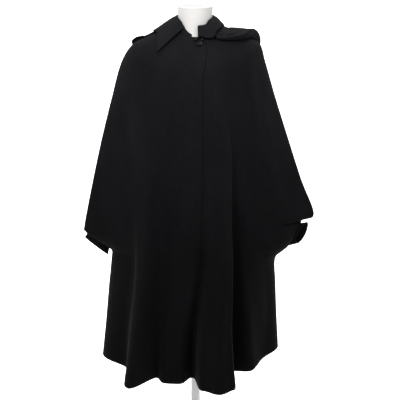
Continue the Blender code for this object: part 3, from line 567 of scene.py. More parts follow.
# front and back panels
panel = {
    "rowsPerSection": 11,
    "frontColumns": 104,
    "backColumns": 86,       # from the centre back to each side
    "hemSamples": 400,
    "evenPart": 0.5,         # columns lie half by the folded hem's run and half by share
    "underlapShare": 0.115,  # left front under the right one
    "underlapFade": 0.10,
    "facingWidth": 0.055,    # the front edge's facing shows as a faint step
    "facingStep": 0.0005,
    "facingFade": 0.008,
    "seamFade": 0.10,        # creases fade out towards the side seam
    "easeRows": 14,          # rows each way that the cloth bridges the step below the sleeve over
    "easeLevels": (6.0, 7.5, 12.0, 13.5),      # eases in and out between these levels
    "easeShares": (0.22, 0.47, 0.66, 0.91),    # and between these shares of a panel
    "allowance": 3,          # columns of the seam allowances inside, below the sleeves
    "allowanceRise": 5,      # rows that they start above the underarm
    "allowanceGap": 0.0003,
    "allowanceWall": 0.0009,
}
levels = np.linspace(0.0, hemLevel, hemLevel * panel["rowsPerSection"] + 1)


def evenShares(half, side, columns):
    # shares spaced evenly along the folded hem
    steps = np.linspace(0.0, 1.0, panel["hemSamples"])
    first = edgePlace(hemLevel) if half == "front" else 0.0
    last = -1.0 if side == "right" else 1.0
    points = surfaceRow(half, first + (last - first) * steps, hemLevel)
    run = np.concatenate(([0.0], np.cumsum(np.linalg.norm(np.diff(points, axis=0), axis=1))))
    even = np.interp(np.linspace(0.0, run[-1], columns + 1), run, steps)
    return panel["evenPart"] * even + (1.0 - panel["evenPart"]) * np.linspace(0.0, 1.0, columns + 1)


def panelGrid(half, side, shares):
    # rows of points from the front edge, or the centre back, to the side
    grid = []
    for level in levels:
        first = edgePlace(level) if half == "front" else 0.0
        last = -1.0 if side == "right" else 1.0
        grid.append(surfaceRow(half, first + (last - first) * shares, level))
    return easeBelowSleeve(np.array(grid), shares)


def inAndOut(values, steps):
    # smooth rise from the first step to the second, and fall from the third to the fourth
    part = np.clip((values - steps[0]) / (steps[1] - steps[0]), 0.0, 1.0)
    return smooth(np.minimum(part, np.clip((steps[3] - values) / (steps[3] - steps[2]), 0.0, 1.0)))


def easeBelowSleeve(grid, shares):
    # the side edge keeps the notch at the sleeve's corner, the cloth beside it runs on evenly
    reach = panel["easeRows"]
    padded = np.concatenate((np.repeat(grid[:1], reach, 0), grid, np.repeat(grid[-1:], reach, 0)))
    weights = [reach + 1 - abs(step) for step in range(-reach, reach + 1)]
    eased = sum(weight * padded[k:k + len(grid)] for k, weight in enumerate(weights)) / sum(weights)
    share = inAndOut(levels, panel["easeLevels"])[:, None] * inAndOut(shares, panel["easeShares"])[None, :]
    return grid + (eased - grid) * share[..., None]


def hemLift(grid):
    # the hem's turned-up band, as a faint step above the edge
    step = np.linalg.norm(np.diff(grid, axis=0), axis=2)
    fromHem = np.concatenate((np.cumsum(step[::-1], axis=0)[::-1], np.zeros((1, grid.shape[1]))))
    return cloth["hemStep"] * smooth(np.clip((cloth["hemBand"] - fromHem) / cloth["hemFade"], 0.0, 1.0))


def seamWeight(shares, fade):
    return smooth(np.clip((1.0 - shares) / fade, 0.0, 1.0))


def keepSide(grid, half):
    # neither face of a wall crosses the seam line between front and back
    if half == "front":
        grid[..., 1] = np.minimum(grid[..., 1], -cloth["seamGap"] / 2.0)
    else:
        grid[..., 1] = np.maximum(grid[..., 1], cloth["seamGap"] / 2.0)
    return grid


def innerGrid(outer, normals, half):
    return keepSide(outer - normals * cloth["wall"], half)


def dressFront(side):
    shares = evenShares("front", side, panel["frontColumns"])
    grid = panelGrid("front", side, shares)
    if side == "right":                      # columns run from the side to the front edge
        grid, shares = grid[:, ::-1], shares[::-1]
    normals = outwardGrid(grid, (0.0, -1.0, 0.0))
    fade = seamWeight(shares, panel["seamFade"])[None, :]
    lift = creaseLift("front", grid) * fade + hemLift(grid) * fade
    return shares, grid + normals * lift[..., None]


rightShares, rightGrid = dressFront("right")
leftShares, leftGrid = dressFront("left")


def edgeDistance(grid):
    # distance along each row to its last column
    step = np.linalg.norm(np.diff(grid, axis=1), axis=2)
    run = np.concatenate((np.zeros((grid.shape[0], 1)), np.cumsum(step, axis=1)), axis=1)
    return run[:, -1:] - run


facing = np.clip((panel["facingWidth"] - edgeDistance(rightGrid)) / panel["facingFade"], 0.0, 1.0)
rightNormals = outwardGrid(rightGrid, (0.0, -1.0, 0.0))
rightOuter = keepSide(rightGrid + rightNormals * (panel["facingStep"] * facing)[..., None], "front")
frontRight = shell("frontRightCloth", rightOuter, innerGrid(rightOuter, rightNormals, "front"),
                   rounded=("top", "bottom", "right"))
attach(frontRight, "root")
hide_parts("front_right")

leftNormals = outwardGrid(leftGrid, (0.0, -1.0, 0.0))
drop = cloth["wall"] + cloth["layerGap"]
under = smooth(1.0 - np.clip(leftShares / panel["underlapFade"], 0.0, 1.0))
mainPart = leftGrid - leftNormals * (drop * under)[None, :, None]
tucked = [index for index, share in enumerate(rightShares) if share <= panel["underlapShare"]][:-1]
tuckedPart = rightGrid[:, tucked] - rightNormals[:, tucked] * drop
leftOuter = keepSide(np.concatenate((tuckedPart, mainPart), axis=1), "front")
leftWall = outwardGrid(leftOuter, (0.0, -1.0, 0.0))
frontLeft = shell("frontLeftCloth", leftOuter, innerGrid(leftOuter, leftWall, "front"),
                  rounded=("top", "bottom", "left"))
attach(frontLeft, "root")
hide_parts("front_left")

backRightShares = evenShares("back", "right", panel["backColumns"])
backLeftShares = evenShares("back", "left", panel["backColumns"])
backGrid = np.concatenate((panelGrid("back", "right", backRightShares)[:, ::-1],
                           panelGrid("back", "left", backLeftShares)[:, 1:]), axis=1)
backShares = np.concatenate((backRightShares[::-1], backLeftShares[1:]))
backNormals = outwardGrid(backGrid, (0.0, 1.0, 0.0))
backFade = seamWeight(backShares, panel["seamFade"])[None, :]
backLift = (creaseLift("back", backGrid) + hemLift(backGrid)) * backFade
backOuter = keepSide(backGrid + backNormals * backLift[..., None], "back")
backPiece = shell("backCloth", backOuter, innerGrid(backOuter, backNormals, "back"),
                  rounded=("top", "bottom"))
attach(backPiece, "root")
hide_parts("back")
for piece in (frontRight, frontLeft, backPiece):
    piece.data.materials.append(wool)

# seam allowances, pressed open inside the side seams
firstRow = levelOf["underarm"] * panel["rowsPerSection"] - panel["allowanceRise"]
wide = panel["allowance"]
for side, frontHalf, frontOut, backHalf, backOut in (
        ("Right", rightOuter[:, ::-1], rightNormals[:, ::-1], backOuter, backNormals),
        ("Left", leftOuter, leftWall, backOuter[:, ::-1], backNormals[:, ::-1])):
    outer = np.concatenate((frontHalf[:, -wide:], backHalf[:, :wide]), axis=1)[firstRow:-1]
    outward = np.concatenate((frontOut[:, -wide:], backOut[:, :wide]), axis=1)[firstRow:-1]
    face = outer - outward * (cloth["wall"] + panel["allowanceGap"])
    piece = shell("seamAllowance" + side, face, face - outward * panel["allowanceWall"])
    piece.data.materials.append(wool)
    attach(piece, "root")
print("panels made", clothCut(rightOuter), clothArea(rightOuter), clothCut(leftOuter), clothArea(leftOuter),
      clothCut(backOuter), clothArea(backOuter))

# cuff bands, sewn to the sleeve ends
cuffColumns = ("side", "x", "y", "z", "halfWidth", "halfDepth", "leanDeg", "turnDeg", "inset")
cuffTable = (
    ("right", -0.3025, 0.002, 0.6310, 0.0440, 0.0120, 52.0, 4.0, 0.0019),
    ("left", 0.3240, -0.012, 0.6740, 0.0360, 0.0240, 24.0, 37.0, 0.0062),
)
cuffMake = {
    "endInset": 0.0060,
    "tuck": 0.0030,
    "rings": 14,
    "columns": 96,
    "gathers": 9,            # soft pleats where the sleeve is sewn to the cuff
    "gatherDepth": 0.0009,
    "gatherPower": 0.7,
    "hem": 0.0006,           # turned edge of the mouth
    "hemStart": 0.72,        # part of the way to the mouth
    "hemFade": 0.08,
    "wobble": 0.0007,
}


def unit(v):
    v = np.asarray(v, float)
    return v / np.linalg.norm(v)


def makeCuff(row):
    side = row["side"]
    sign = -1.0 if side == "right" else 1.0
    first = levelOf["cuff top"] * panel["rowsPerSection"]
    last = levelOf["cuff bottom"] * panel["rowsPerSection"]
    front = rightOuter[first:last + 1, 0] if side == "right" else leftOuter[first:last + 1, -1]
    rear = backOuter[first:last + 1, 0] if side == "right" else backOuter[first:last + 1, -1]
    top, bottom = (front[0] + rear[0]) / 2.0, (front[-1] + rear[-1]) / 2.0
    lean, turn = math.radians(row["leanDeg"]), math.radians(row["turnDeg"])
    along = np.array((sign * math.sin(lean), 0.0, math.cos(lean)))
    outward = np.array((sign * math.cos(lean), 0.0, -math.sin(lean)))
    depth = np.array((0.0, -math.cos(turn), 0.0)) - outward * math.sin(turn)
    centre = np.array((row["x"], row["y"], row["z"]))
    major, middle = unit(top - bottom), (top + bottom) / 2.0
    fitted = 1.0 - cuffMake["endInset"] / np.linalg.norm(top - middle)
    ring = np.concatenate(([top], front[1:-1], [bottom], rear[-2:0:-1]))
    lengthwise = ((ring - middle) @ major)[:, None] * major
    sideways = ring - middle - lengthwise
    size = np.maximum(np.linalg.norm(sideways, axis=1), row["inset"])
    root = middle + lengthwise * fitted + sideways * (1.0 - row["inset"] / size)[:, None]
    root = root + unit(middle - centre) * cuffMake["tuck"]
    run = np.linspace(0.0, 1.0, len(root) + 1)
    wanted = np.linspace(0.0, 1.0, cuffMake["columns"], endpoint=False)
    root = np.stack([np.interp(wanted, run, np.append(root[:, axis], root[0, axis])) for axis in range(3)], 1)
    angle = wanted * 2.0 * math.pi
    mouth = (centre + np.cos(angle)[:, None] * along * row["halfWidth"]
             + np.sin(angle)[:, None] * depth * row["halfDepth"])
    grid = []
    for part in np.linspace(0.0, 1.0, cuffMake["rings"]):
        grid.append(root + (mouth - root) * part)
    grid = np.array(grid)
    middleLine = grid.mean(axis=1, keepdims=True)
    out = grid - middleLine
    out /= np.maximum(np.linalg.norm(out, axis=2), 1e-6)[..., None]
    part = np.linspace(0.0, 1.0, cuffMake["rings"])[:, None]
    pleats = 0.5 + 0.5 * np.cos(angle * cuffMake["gathers"])
    soft = -cuffMake["gatherDepth"] * pleats * np.sin(math.pi * part) ** cuffMake["gatherPower"] * (1 - part)
    soft = soft + cuffMake["hem"] * np.clip((part - cuffMake["hemStart"]) / cuffMake["hemFade"], 0.0, 1.0)
    soft = soft + cuffMake["wobble"] * np.sin(angle * 3.0 + 1.0) * part
    grid = grid + out * soft[..., None]
    return grid, out


for row in [dict(zip(cuffColumns, values)) for values in cuffTable]:
    grid, out = makeCuff(row)
    piece = shell("cuff" + row["side"].title() + "Cloth", grid, grid - out * cloth["wall"], closed=True)
    piece.data.materials.append(wool)
    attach(piece, "root")
    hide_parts("cuff_" + row["side"])
    print("cuff", row["side"], clothCut(grid, True), clothArea(grid, True))

# collar stand and the fall that turns over it
standTable = (      # turn round the neck, top height, top radius
    (-12, 1.266, 0.0600), (-43, 1.285, 0.0565), (-90, 1.320, 0.0538), (-180, 1.326, 0.0560),
    (-270, 1.320, 0.0538), (-300, 1.303, 0.0550), (-318, 1.292, 0.0570), (-350, 1.288, 0.0590),
)
fallTable = (       # name, fold turn, edge turn, level of the edge, lift off the shoulders, roll
    ("right point",        -43, -61, 2.34, 0.0046, 0.10),
    ("right outer corner", -68, -77, 1.42, 0.0044, 0.09),
    ("right shoulder",     -92, -93, 1.50, 0.0092, 0.12),
    ("right back",        -132, -132, 1.70, 0.0110, 0.20),
    ("centre back",       -180, -180, 1.66, 0.0110, 0.24),
    ("left back",         -226, -228, 1.45, 0.0110, 0.24),
    ("left shoulder",     -264, -266, 0.55, 0.0090, 0.24),
    ("left outer edge",   -292, -294, 0.50, 0.0140, 0.24),
    ("left point",        -318, -316, 0.70, 0.0125, 0.24),
    ("left front edge",   -350, -350, 0.04, 0.0070, 0.20),
)
collar = {
    "standColumns": 130,
    "standRows": 10,
    "seat": 0.0008,
    "fallSteps": 14,         # columns between two rows of the table
    "fallRows": 18,
    "rollRows": 7,           # rows over the top of the stand
    "rollRadius": 0.0030,
    "rollOut": 0.8,          # the roll's width and height, in its radius
    "rollUp": 0.9,
    "edgeStitch": 0.0007,    # the leaf's edge is a little thicker within this of its border
    "edgeWidth": 0.010,
    "edgeFade": 0.003,
    "paintedLightLift": 1.15,        # painted light: the collar's copy of the wool is painted a little lighter
}
standTurns = [row[0] for row in standTable]


def standTop(turn, extra=0.0):
    values = np.array(standTable)
    place = 0.0
    for index in range(len(standTurns) - 1):
        low, high = standTurns[index], standTurns[index + 1]
        if high <= turn <= low:
            place = index + (turn - low) / (high - low)
    height, radius = between(values[:, 1:], place) if turn <= standTurns[0] else values[0, 1:]
    base = around(turn, 0.0, 0.0)
    outward = unit((base[0], base[1], 0.0))
    return outward * (radius + extra) + np.array((0.0, 0.0, height)), outward


standGrid = []
for turn in np.linspace(standTurns[0], standTurns[-1], collar["standColumns"]):
    foot = around(turn, 0.0, 0.0) + np.array((0.0, 0.0, collar["seat"]))
    top, outward = standTop(turn)
    column = [top + (foot - top) * part for part in np.linspace(0.0, 1.0, collar["standRows"])]
    standGrid.append(column)
standGrid = np.array(standGrid).transpose(1, 0, 2)
standNormals = outwardGrid(standGrid, (0.0, 1.0, 0.0))
standPiece = shell("collarStandCloth", standGrid, standGrid - standNormals * cloth["wall"])
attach(standPiece, "root")
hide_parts("collar_stand")

fallValues = np.array([row[1:] for row in fallTable], float)
fallGrid = []
for place in np.linspace(0.0, len(fallTable) - 1, collar["fallSteps"] * (len(fallTable) - 1) + 1):
    foldTurn, edgeTurn, level, lift, roll = between(fallValues, place)
    fold, outward = standTop(foldTurn, cloth["wall"] + cloth["seamGap"])
    edge = around(edgeTurn, level, lift)
    column = []
    for step in range(collar["rollRows"]):      # up from inside the stand and over its top
        angle = math.pi * (1.0 - step / collar["rollRows"])
        column.append(fold + outward * (math.cos(angle) - 1.0) * collar["rollRadius"] * collar["rollOut"]
                      + np.array((0.0, 0.0, math.sin(angle) * collar["rollRadius"] * collar["rollUp"])))
    rolled = fold + outward * np.linalg.norm(edge - fold) * roll
    for part in np.linspace(0.0, 1.0, collar["fallRows"] + 1):
        a, b = fold + (rolled - fold) * part, rolled + (edge - rolled) * part
        column.append(a + (b - a) * part)
    fallGrid.append(column)
fallGrid = np.array(fallGrid).transpose(1, 0, 2)
fallNormals = outwardGrid(fallGrid, around(-180.0, 1.0, 0.2) - around(-180.0, 1.0, 0.0))
fromEdge = np.linalg.norm(fallGrid - fallGrid[-1:], axis=2)
edgeLift = collar["edgeStitch"] * np.clip((collar["edgeWidth"] - fromEdge) / collar["edgeFade"], 0.0, 1.0)
fallOuter = fallGrid + fallNormals * edgeLift[..., None]
fallPiece = shell("collarFallCloth", fallOuter, fallGrid - fallNormals * cloth["wall"])
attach(fallPiece, "root")
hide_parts("collar_fall")
# painted light: the collar gets a lighter copy of the cape's wool
collarLitWool = makeWool("collarLitWool", collar["paintedLightLift"])
for piece in (standPiece, fallPiece):
    piece.data.materials.append(collarLitWool)
print("collar made", clothCut(standGrid), clothArea(standGrid), clothCut(fallOuter), clothArea(fallOuter))

# hood, laid back
hoodTable = (       # name, turn, reach of the lower edge, loft, share where the mouth is, mouth loft
    ("left end",        -306, 0.84, 0.007, 0.45, 0.005),
    ("left front",      -295, 1.30, 0.012, 0.32, 0.004),
    ("left band",       -283, 2.02, 0.021, 0.24, 0.003),
    ("left shoulder",   -270, 2.44, 0.027, 0.24, 0.001),
    ("left back",       -250, 3.40, 0.022, 0.30, 0.004),
    ("lower left",      -215, 4.60, 0.032, 0.45, 0.028),
    ("centre back",     -180, 5.05, 0.034, 0.52, 0.032),
    ("lower right",     -145, 4.45, 0.028, 0.46, 0.024),
    ("right back",      -110, 3.30, 0.012, 0.66, 0.010),
    ("right shoulder",   -91, 2.85, 0.007, 0.76, 0.006),
)
hoodMake = {
    "root": 0.30,            # level of the seam under the collar
    "lift": 0.0037,
    "steps": 12,             # columns between two rows of the table
    "under": 26,
    "turn": 12,
    "over": 22,
    "bulge": 0.10,
    "fall": 1.1,             # how late the outer layer comes down to its mouth
    "pucker": 0.0016,        # soft waves along the pouch
    "waves": (4.3, 3.0),     # their run, by row of the table and by part of the way
    "probe": 8,              # row of the outer layer whose direction tells which way is out
    "creaseRun": 1.6,        # one part of the way counts as so many rows of the table
    "creaseEnd": 0.06,
}
# creases of the hood's outer layer: row of the table and part of the way from the lower edge to
# the mouth, at both ends; then half width and height
hoodCreases = (
    (1.10, 0.06, 2.75, 0.42, 0.10, -0.0042),
    (1.70, 0.52, 2.80, 0.90, 0.12, 0.0030),
    (0.60, 0.30, 1.60, 0.70, 0.14, -0.0024),
    (3.10, 0.62, 4.90, 0.24, 0.13, -0.0085),
    (4.20, 0.80, 6.20, 0.62, 0.13, -0.0080),
    (4.60, 0.40, 6.40, 0.36, 0.12, 0.0070),
    (5.40, 0.20, 7.60, 0.44, 0.14, -0.0075),
    (7.20, 0.66, 8.30, 0.30, 0.13, -0.0050),
    (3.60, 0.90, 5.20, 0.84, 0.10, 0.0050),
)


def hoodCrease(place, part):
    lift, run, end = 0.0, hoodMake["creaseRun"], hoodMake["creaseEnd"]
    for row1, part1, row2, part2, width, height in hoodCreases:
        dx, dy = row2 - row1, part2 - part1
        t = ((place - row1) * dx + (part - part1) * dy) / (dx * dx + dy * dy)
        near = min(max(t, 0.0), 1.0)
        away = math.hypot(place - row1 - dx * near, (part - part1 - dy * near) * run)
        rise = math.sin(math.pi * min(max(t, end), 1.0 - end))
        lift += height * math.exp(-(away / (run * width)) ** 2) * rise
    return lift * math.sin(math.pi * min(1.0, part + end)) ** 0.5


hoodValues = np.array([row[1:] for row in hoodTable], float)
hoodGrid = []
hoodPlaces = np.linspace(0.0, len(hoodTable) - 1, hoodMake["steps"] * (len(hoodTable) - 1) + 1)
for place in hoodPlaces:
    turn, reach, loft, mouth, mouthLoft = between(hoodValues, place)
    depth = reach - hoodMake["root"]
    trail = [(hoodMake["root"] + depth * part, hoodMake["lift"])
             for part in np.linspace(0.0, 1.0, hoodMake["under"] + 1)]
    for angle in np.linspace(0.0, math.pi, hoodMake["turn"] + 1)[1:]:
        trail.append((reach + hoodMake["bulge"] * math.sin(angle),
                      hoodMake["lift"] + loft * (1.0 - math.cos(angle)) / 2.0))
    for part in np.linspace(0.0, 1.0, hoodMake["over"] + 1)[1:]:
        phase = place * hoodMake["waves"][0] + part * hoodMake["waves"][1]
        wave = hoodMake["pucker"] * math.sin(phase) * math.sin(math.pi * part) + hoodCrease(place, part)
        trail.append((reach - depth * (1.0 - mouth) * part,
                      hoodMake["lift"] + loft + (mouthLoft - loft) * part ** hoodMake["fall"] + wave))
    hoodGrid.append([around(turn, level, lift) for level, lift in trail])
hoodGrid = np.array(hoodGrid).transpose(1, 0, 2)
hoodNormals = gridNormals(hoodGrid)
overRow = hoodMake["under"] + hoodMake["turn"] + hoodMake["probe"]
middleColumn = hoodGrid.shape[1] // 2
if hoodNormals[overRow, middleColumn][1] < 0.0:
    hoodNormals = -hoodNormals
hoodPiece = shell("hoodCloth", hoodGrid, hoodGrid - hoodNormals * cloth["wall"])
hoodPiece.data.materials.append(wool)
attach(hoodPiece, "root")
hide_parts("hood")
print("hood made", clothCut(hoodGrid), clothArea(hoodGrid))

# turned button with four holes, and its thread
button = {
    "radius": 0.0135,
    "thickness": 0.0042,
    "rim": 0.0026,
    "rimRound": 0.35,        # where the rim's inner rounding starts, in rims
    "innerRound": 0.0010,
    "outerRound": 0.0016,
    "underside": ((0.0009, 0.0006), (0.0020, 0.0)),      # inset and height of its bevel
    "dish": 0.0009,
    "dishShape": ((0.0, 1.0), (0.6, 1.0), (0.92, 0.9)),  # radius and depth, as shares
    "hole": 0.0012,
    "spacing": 0.0028,
    "x": 0.011,
    "z": 1.2435,
    "seat": 0.0006,          # over the cloth
    "dark": (0.0010, 0.0010, 0.0012),
    "light": (0.0026, 0.0026, 0.0030),
    "cloud": (160.0, 4.0, 0.55),
    "scuff": (900.0, 5.0, 0.7),
    "roughness": (0.09, 0.16),
    "bump": (0.10, 0.0004),  # strength and depth
    "specular": 0.10,
    "coat": 0.05,
    "coatRoughness": 0.05,
}
thread = {
    "radius": 0.0005,
    "lift": 0.0005,          # over the dish
    "cross": 0.0003,         # the second strand over the first
    "bow": 0.0003,
    "dip": 0.0022,           # into the holes, from dipStart on
    "dipStart": 0.8,
    "greys": (0.010, 0.030),
    "twist": (2600.0, 3.0, 0.6),
    "roughness": 0.7,
    "bump": (0.5, 0.0003),
}


def lathe(name, profile, steps=96):
    # solid of revolution about Z from radius, height pairs, top to bottom
    vertices, faces = [], []
    rings = []
    for radius, height in profile:
        if radius < 1e-7:
            rings.append([len(vertices)] * steps)
            vertices.append((0.0, 0.0, height))
        else:
            rings.append(list(range(len(vertices), len(vertices) + steps)))
            for k in range(steps):
                angle = 2.0 * math.pi * k / steps
                vertices.append((radius * math.cos(angle), radius * math.sin(angle), height))
    for upper, lower in zip(rings, rings[1:]):
        for k in range(steps):
            n = (k + 1) % steps
            corners = []
            for v in (upper[k], lower[k], lower[n], upper[n]):
                if v not in corners:
                    corners.append(v)
            if len(corners) > 2:
                faces.append(tuple(corners))
    return newMesh(name, vertices, faces)


def arc(centreRadius, centreHeight, radius, startDeg, endDeg, steps=8):
    points = []
    for angle in np.radians(np.linspace(startDeg, endDeg, steps)):
        points.append((centreRadius + radius * math.cos(angle), centreHeight + radius * math.sin(angle)))
    return points


t = button["thickness"]
inside = button["radius"] - button["rim"]
rimIn, rimOut = button["innerRound"], button["outerRound"]
buttonProfile = [(inside * wide, t - button["dish"] * deep) for wide, deep in button["dishShape"]]
buttonProfile += arc(inside + button["rim"] * button["rimRound"], t - rimIn, rimIn, 140.0, 90.0, 5)
buttonProfile += arc(button["radius"] - rimOut, t - rimOut, rimOut, 80.0, -20.0, 8)
buttonProfile += [(button["radius"] - inset, height) for inset, height in button["underside"]] + [(0.0, 0.0)]
buttonPiece = lathe("buttonTurned", buttonProfile)
level = 0.0
while surfaceRow("front", [0.0], level)[0][2] > button["z"]:
    level += 0.01
place = edgePlace(level) * button["x"] / sectionAt(level)["edgeX"]
turnPlace = place * 90.0
seat = around(turnPlace, level, button["seat"])
normal = Vector(unit(around(turnPlace, level, 0.1) - around(turnPlace, level, 0.0)))
for k in range(4):
    angle = math.radians(45.0 + 90.0 * k)
    bpy.ops.mesh.primitive_cylinder_add(vertices=24, radius=button["hole"], depth=0.02, location=(
        button["spacing"] * math.cos(angle), button["spacing"] * math.sin(angle), t / 2.0))
    cutter = bpy.context.object
    cut = buttonPiece.modifiers.new("hole", "BOOLEAN")
    cut.operation, cut.solver, cut.object = "DIFFERENCE", "EXACT", cutter
    bpy.context.view_layer.objects.active = buttonPiece
    bpy.ops.object.modifier_apply(modifier=cut.name)
    bpy.data.objects.remove(cutter, do_unlink=True)
turnTo = normal.to_track_quat("Z", "Y")
buttonPiece.data.transform(turnTo.to_matrix().to_4x4())
buttonPiece.data.transform(Matrix.Translation(Vector(seat)))
gloss, tree, shader = nodesOf("blackGloss")
place = tree.nodes.new("ShaderNodeTexCoord").outputs["Object"]
cloudy = noiseNode(tree, place, *button["cloud"])
tree.links.new(rampNode(tree, cloudy, ((0.35, button["dark"]), (0.7, button["light"]))),
               shader.inputs["Base Color"])
scuff = noiseNode(tree, place, *button["scuff"])
tree.links.new(greyRamp(tree, scuff, button["roughness"], (0.4, 0.75)), shader.inputs["Roughness"])
tree.links.new(bumpNode(tree, cloudy, *button["bump"]), shader.inputs["Normal"])
shader.inputs["Specular IOR Level"].default_value = button["specular"]
shader.inputs["Coat Weight"].default_value = button["coat"]
shader.inputs["Coat Roughness"].default_value = button["coatRoughness"]
buttonPiece.data.materials.append(gloss)
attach(buttonPiece, "root")
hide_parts("button")

threadMaterial, tree, shader = nodesOf("buttonThread")
place = tree.nodes.new("ShaderNodeTexCoord").outputs["Object"]
twist = noiseNode(tree, place, *thread["twist"])
tree.links.new(greyRamp(tree, twist, thread["greys"], (0.35, 0.7)), shader.inputs["Base Color"])
shader.inputs["Roughness"].default_value = thread["roughness"]
tree.links.new(bumpNode(tree, twist, *thread["bump"]), shader.inputs["Normal"])


def tube(name, path, radius, sides=8):
    # a round strand along a short path of points
    vertices, faces = [], []
    for index, point in enumerate(path):
        before, after = path[max(index - 1, 0)], path[min(index + 1, len(path) - 1)]
        along = (Vector(after) - Vector(before)).normalized()
        first = along.orthogonal().normalized()
        second = along.cross(first)
        for k in range(sides):
            angle = 2.0 * math.pi * k / sides
            vertices.append(Vector(point) + (first * math.cos(angle) + second * math.sin(angle)) * radius)
    for ring in range(len(path) - 1):
        for k in range(sides):
            n = (k + 1) % sides
            a, b = ring * sides, (ring + 1) * sides
            faces.append((a + k, a + n, b + n, b + k))
    faces.append(tuple(range(sides))[::-1])
    faces.append(tuple((len(path) - 1) * sides + k for k in range(sides)))
    return newMesh(name, vertices, faces)


threadTop = t - button["dish"]
for number, firstDeg in enumerate((45.0, 135.0)):
    path = []
    for part in np.linspace(-1.0, 1.0, 13):
        reach = button["spacing"] * part
        dip = thread["dip"] * max(0.0, abs(part) - thread["dipStart"]) / (1.0 - thread["dipStart"])
        path.append((reach * math.cos(math.radians(firstDeg)), reach * math.sin(math.radians(firstDeg)),
                     threadTop + thread["lift"] + thread["cross"] * number
                     + thread["bow"] * (1 - part * part) - dip))
    strand = tube(f"buttonThread{number + 1}", path, thread["radius"])
    strand.data.transform(Matrix.Translation(Vector(seat)) @ turnTo.to_matrix().to_4x4())
    strand.data.materials.append(threadMaterial)
    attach(strand, "root")
print("button made")

# limbless dress form, neck and torso
form = {
    "clearance": 0.0016,
    "columns": 48,           # per quarter
    "neckTopZ": 1.350,
    "neckTopRadius": 0.053,
    "neckTiltDeg": 9.0,
    "topRound": 0.0035,      # rounded rim of the neck's cut
    "capInset": 0.0016,      # the neck's cap lies a little below its rim
    "capIn": 0.0075,         # insets of the cap and of its rim from the neck's side
    "capRimIn": 0.0062,
    "capFromZ": 1.33,        # faces above this that look up are the cap
    "capUp": 0.8,
    "sharpDeg": 50.0,
    "dark": (0.80, 0.785, 0.765),
    "light": (0.85, 0.835, 0.815),
    "capShadeDark": (0.43, 0.42, 0.41),       # painted shade: the neck's cap is painted darker, as it takes the light from above
    "capShadeLight": (0.47, 0.46, 0.45),
    "doubleStart": 0.9,      # room for the doubled fronts
    "doubleFade": 0.3,
    "fine": (1400.0, 4.0, 0.6),
    "broad": (14.0, 3.0, 0.5),
    "broadPart": 0.7,
    "roughness": (0.50, 0.62),
    "bump": (0.15, 0.0003),
}
neckRows = ((1.322, 0.0508, 0.0508, 0.16), (1.300, 0.0496, 0.0500, 0.20), (1.277, 0.0520, 0.0515, 0.14))
shoulderLevels = (0.5, 0.75, 1.0, 1.25, 1.5, 1.75, 2.0, 2.25, 2.5, 2.75, 3.0)
torsoRows = (       # height, rise at the sides, half width, front, back
    (1.140, 0.050, 0.165, 0.104, 0.104), (1.100, 0.020, 0.153, 0.112, 0.103),
    (1.030, 0.0, 0.144, 0.110, 0.098), (0.950, 0.0, 0.118, 0.086, 0.082),
    (0.880, 0.0, 0.130, 0.094, 0.096), (0.800, 0.0, 0.150, 0.104, 0.112),
    (0.730, 0.0, 0.146, 0.100, 0.108),
)
quarterPlaces = np.arange(-form["columns"], form["columns"]) / form["columns"]
frontAngle, backAngle = quarterPlaces * math.pi / 2.0, -quarterPlaces * math.pi / 2.0


def neckRing(z, halfWidth, halfDepth, slope):
    x = np.concatenate((np.sin(frontAngle), np.sin(backAngle))) * halfWidth
    y = np.concatenate((-np.cos(frontAngle), np.cos(backAngle))) * halfDepth
    return np.stack((x, y, z + y * slope), 1)


formRings = []
tilt = math.tan(math.radians(form["neckTiltDeg"]))
for k in range(7):      # rounded rim
    angle = math.pi / 2.0 * k / 6
    ringRadius = form["neckTopRadius"] - form["topRound"] * (1.0 - math.sin(angle))
    formRings.append(neckRing(form["neckTopZ"] - form["topRound"] * (1.0 - math.cos(angle)),
                              ringRadius, ringRadius, tilt))
neckValues = np.array(((form["neckTopZ"], form["neckTopRadius"], form["neckTopRadius"], tilt),) + neckRows)
for place in np.linspace(0.25, len(neckValues) - 1, 16):
    formRings.append(neckRing(*between(neckValues, place)))
for level in shoulderLevels:
    ring = []
    for half, places in (("front", quarterPlaces), ("back", -quarterPlaces)):
        here, away = surfaceAndOut(half, places, level)
        room = np.zeros(len(places))
        if half == "front":
            room = np.clip((form["doubleStart"] - np.abs(places)) / form["doubleFade"], 0.0, 1.0)
        inset = cloth["wall"] + form["clearance"] + room * (cloth["wall"] + cloth["layerGap"])
        ring.append(here - away * inset[:, None])
    formRings.append(np.concatenate(ring))
torsoValues = np.array(torsoRows)
for place in np.linspace(0.0, len(torsoRows) - 1, 25):
    z, rise, halfWidth, front, back = between(torsoValues, place)
    x = np.concatenate((np.sin(frontAngle), np.sin(backAngle))) * halfWidth
    y = np.concatenate((-np.cos(frontAngle) * front, np.cos(backAngle) * back))
    up = z + rise * np.concatenate((np.sin(frontAngle), np.sin(backAngle))) ** 2
    formRings.append(np.stack((x, y, up), 1))
capRadius, rimRadius = form["neckTopRadius"] - form["capIn"], form["neckTopRadius"] - form["capRimIn"]
cap = neckRing(form["neckTopZ"] - form["capInset"], capRadius, capRadius, tilt)
capRim = neckRing(form["neckTopZ"], rimRadius, rimRadius, tilt)
formRings = [cap, capRim] + formRings
formGrid = np.array(formRings)
ringSize = formGrid.shape[1]
vertices = formGrid.reshape(-1, 3)
faces = []
for r in range(len(formRings) - 1):
    for c in range(ringSize):
        n = (c + 1) % ringSize
        faces.append((r * ringSize + c, (r + 1) * ringSize + c, (r + 1) * ringSize + n, r * ringSize + n))
capCentre, footCentre = len(vertices), len(vertices) + 1
vertices = np.concatenate((vertices, cap.mean(0)[None], formGrid[-1].mean(0)[None]))
for c in range(ringSize):
    n = (c + 1) % ringSize
    faces.append((capCentre, c, n))
    faces.append((footCentre, (len(formRings) - 1) * ringSize + n, (len(formRings) - 1) * ringSize + c))
formPiece = newMesh("dressForm", vertices, faces)
facesOut(formPiece.data)
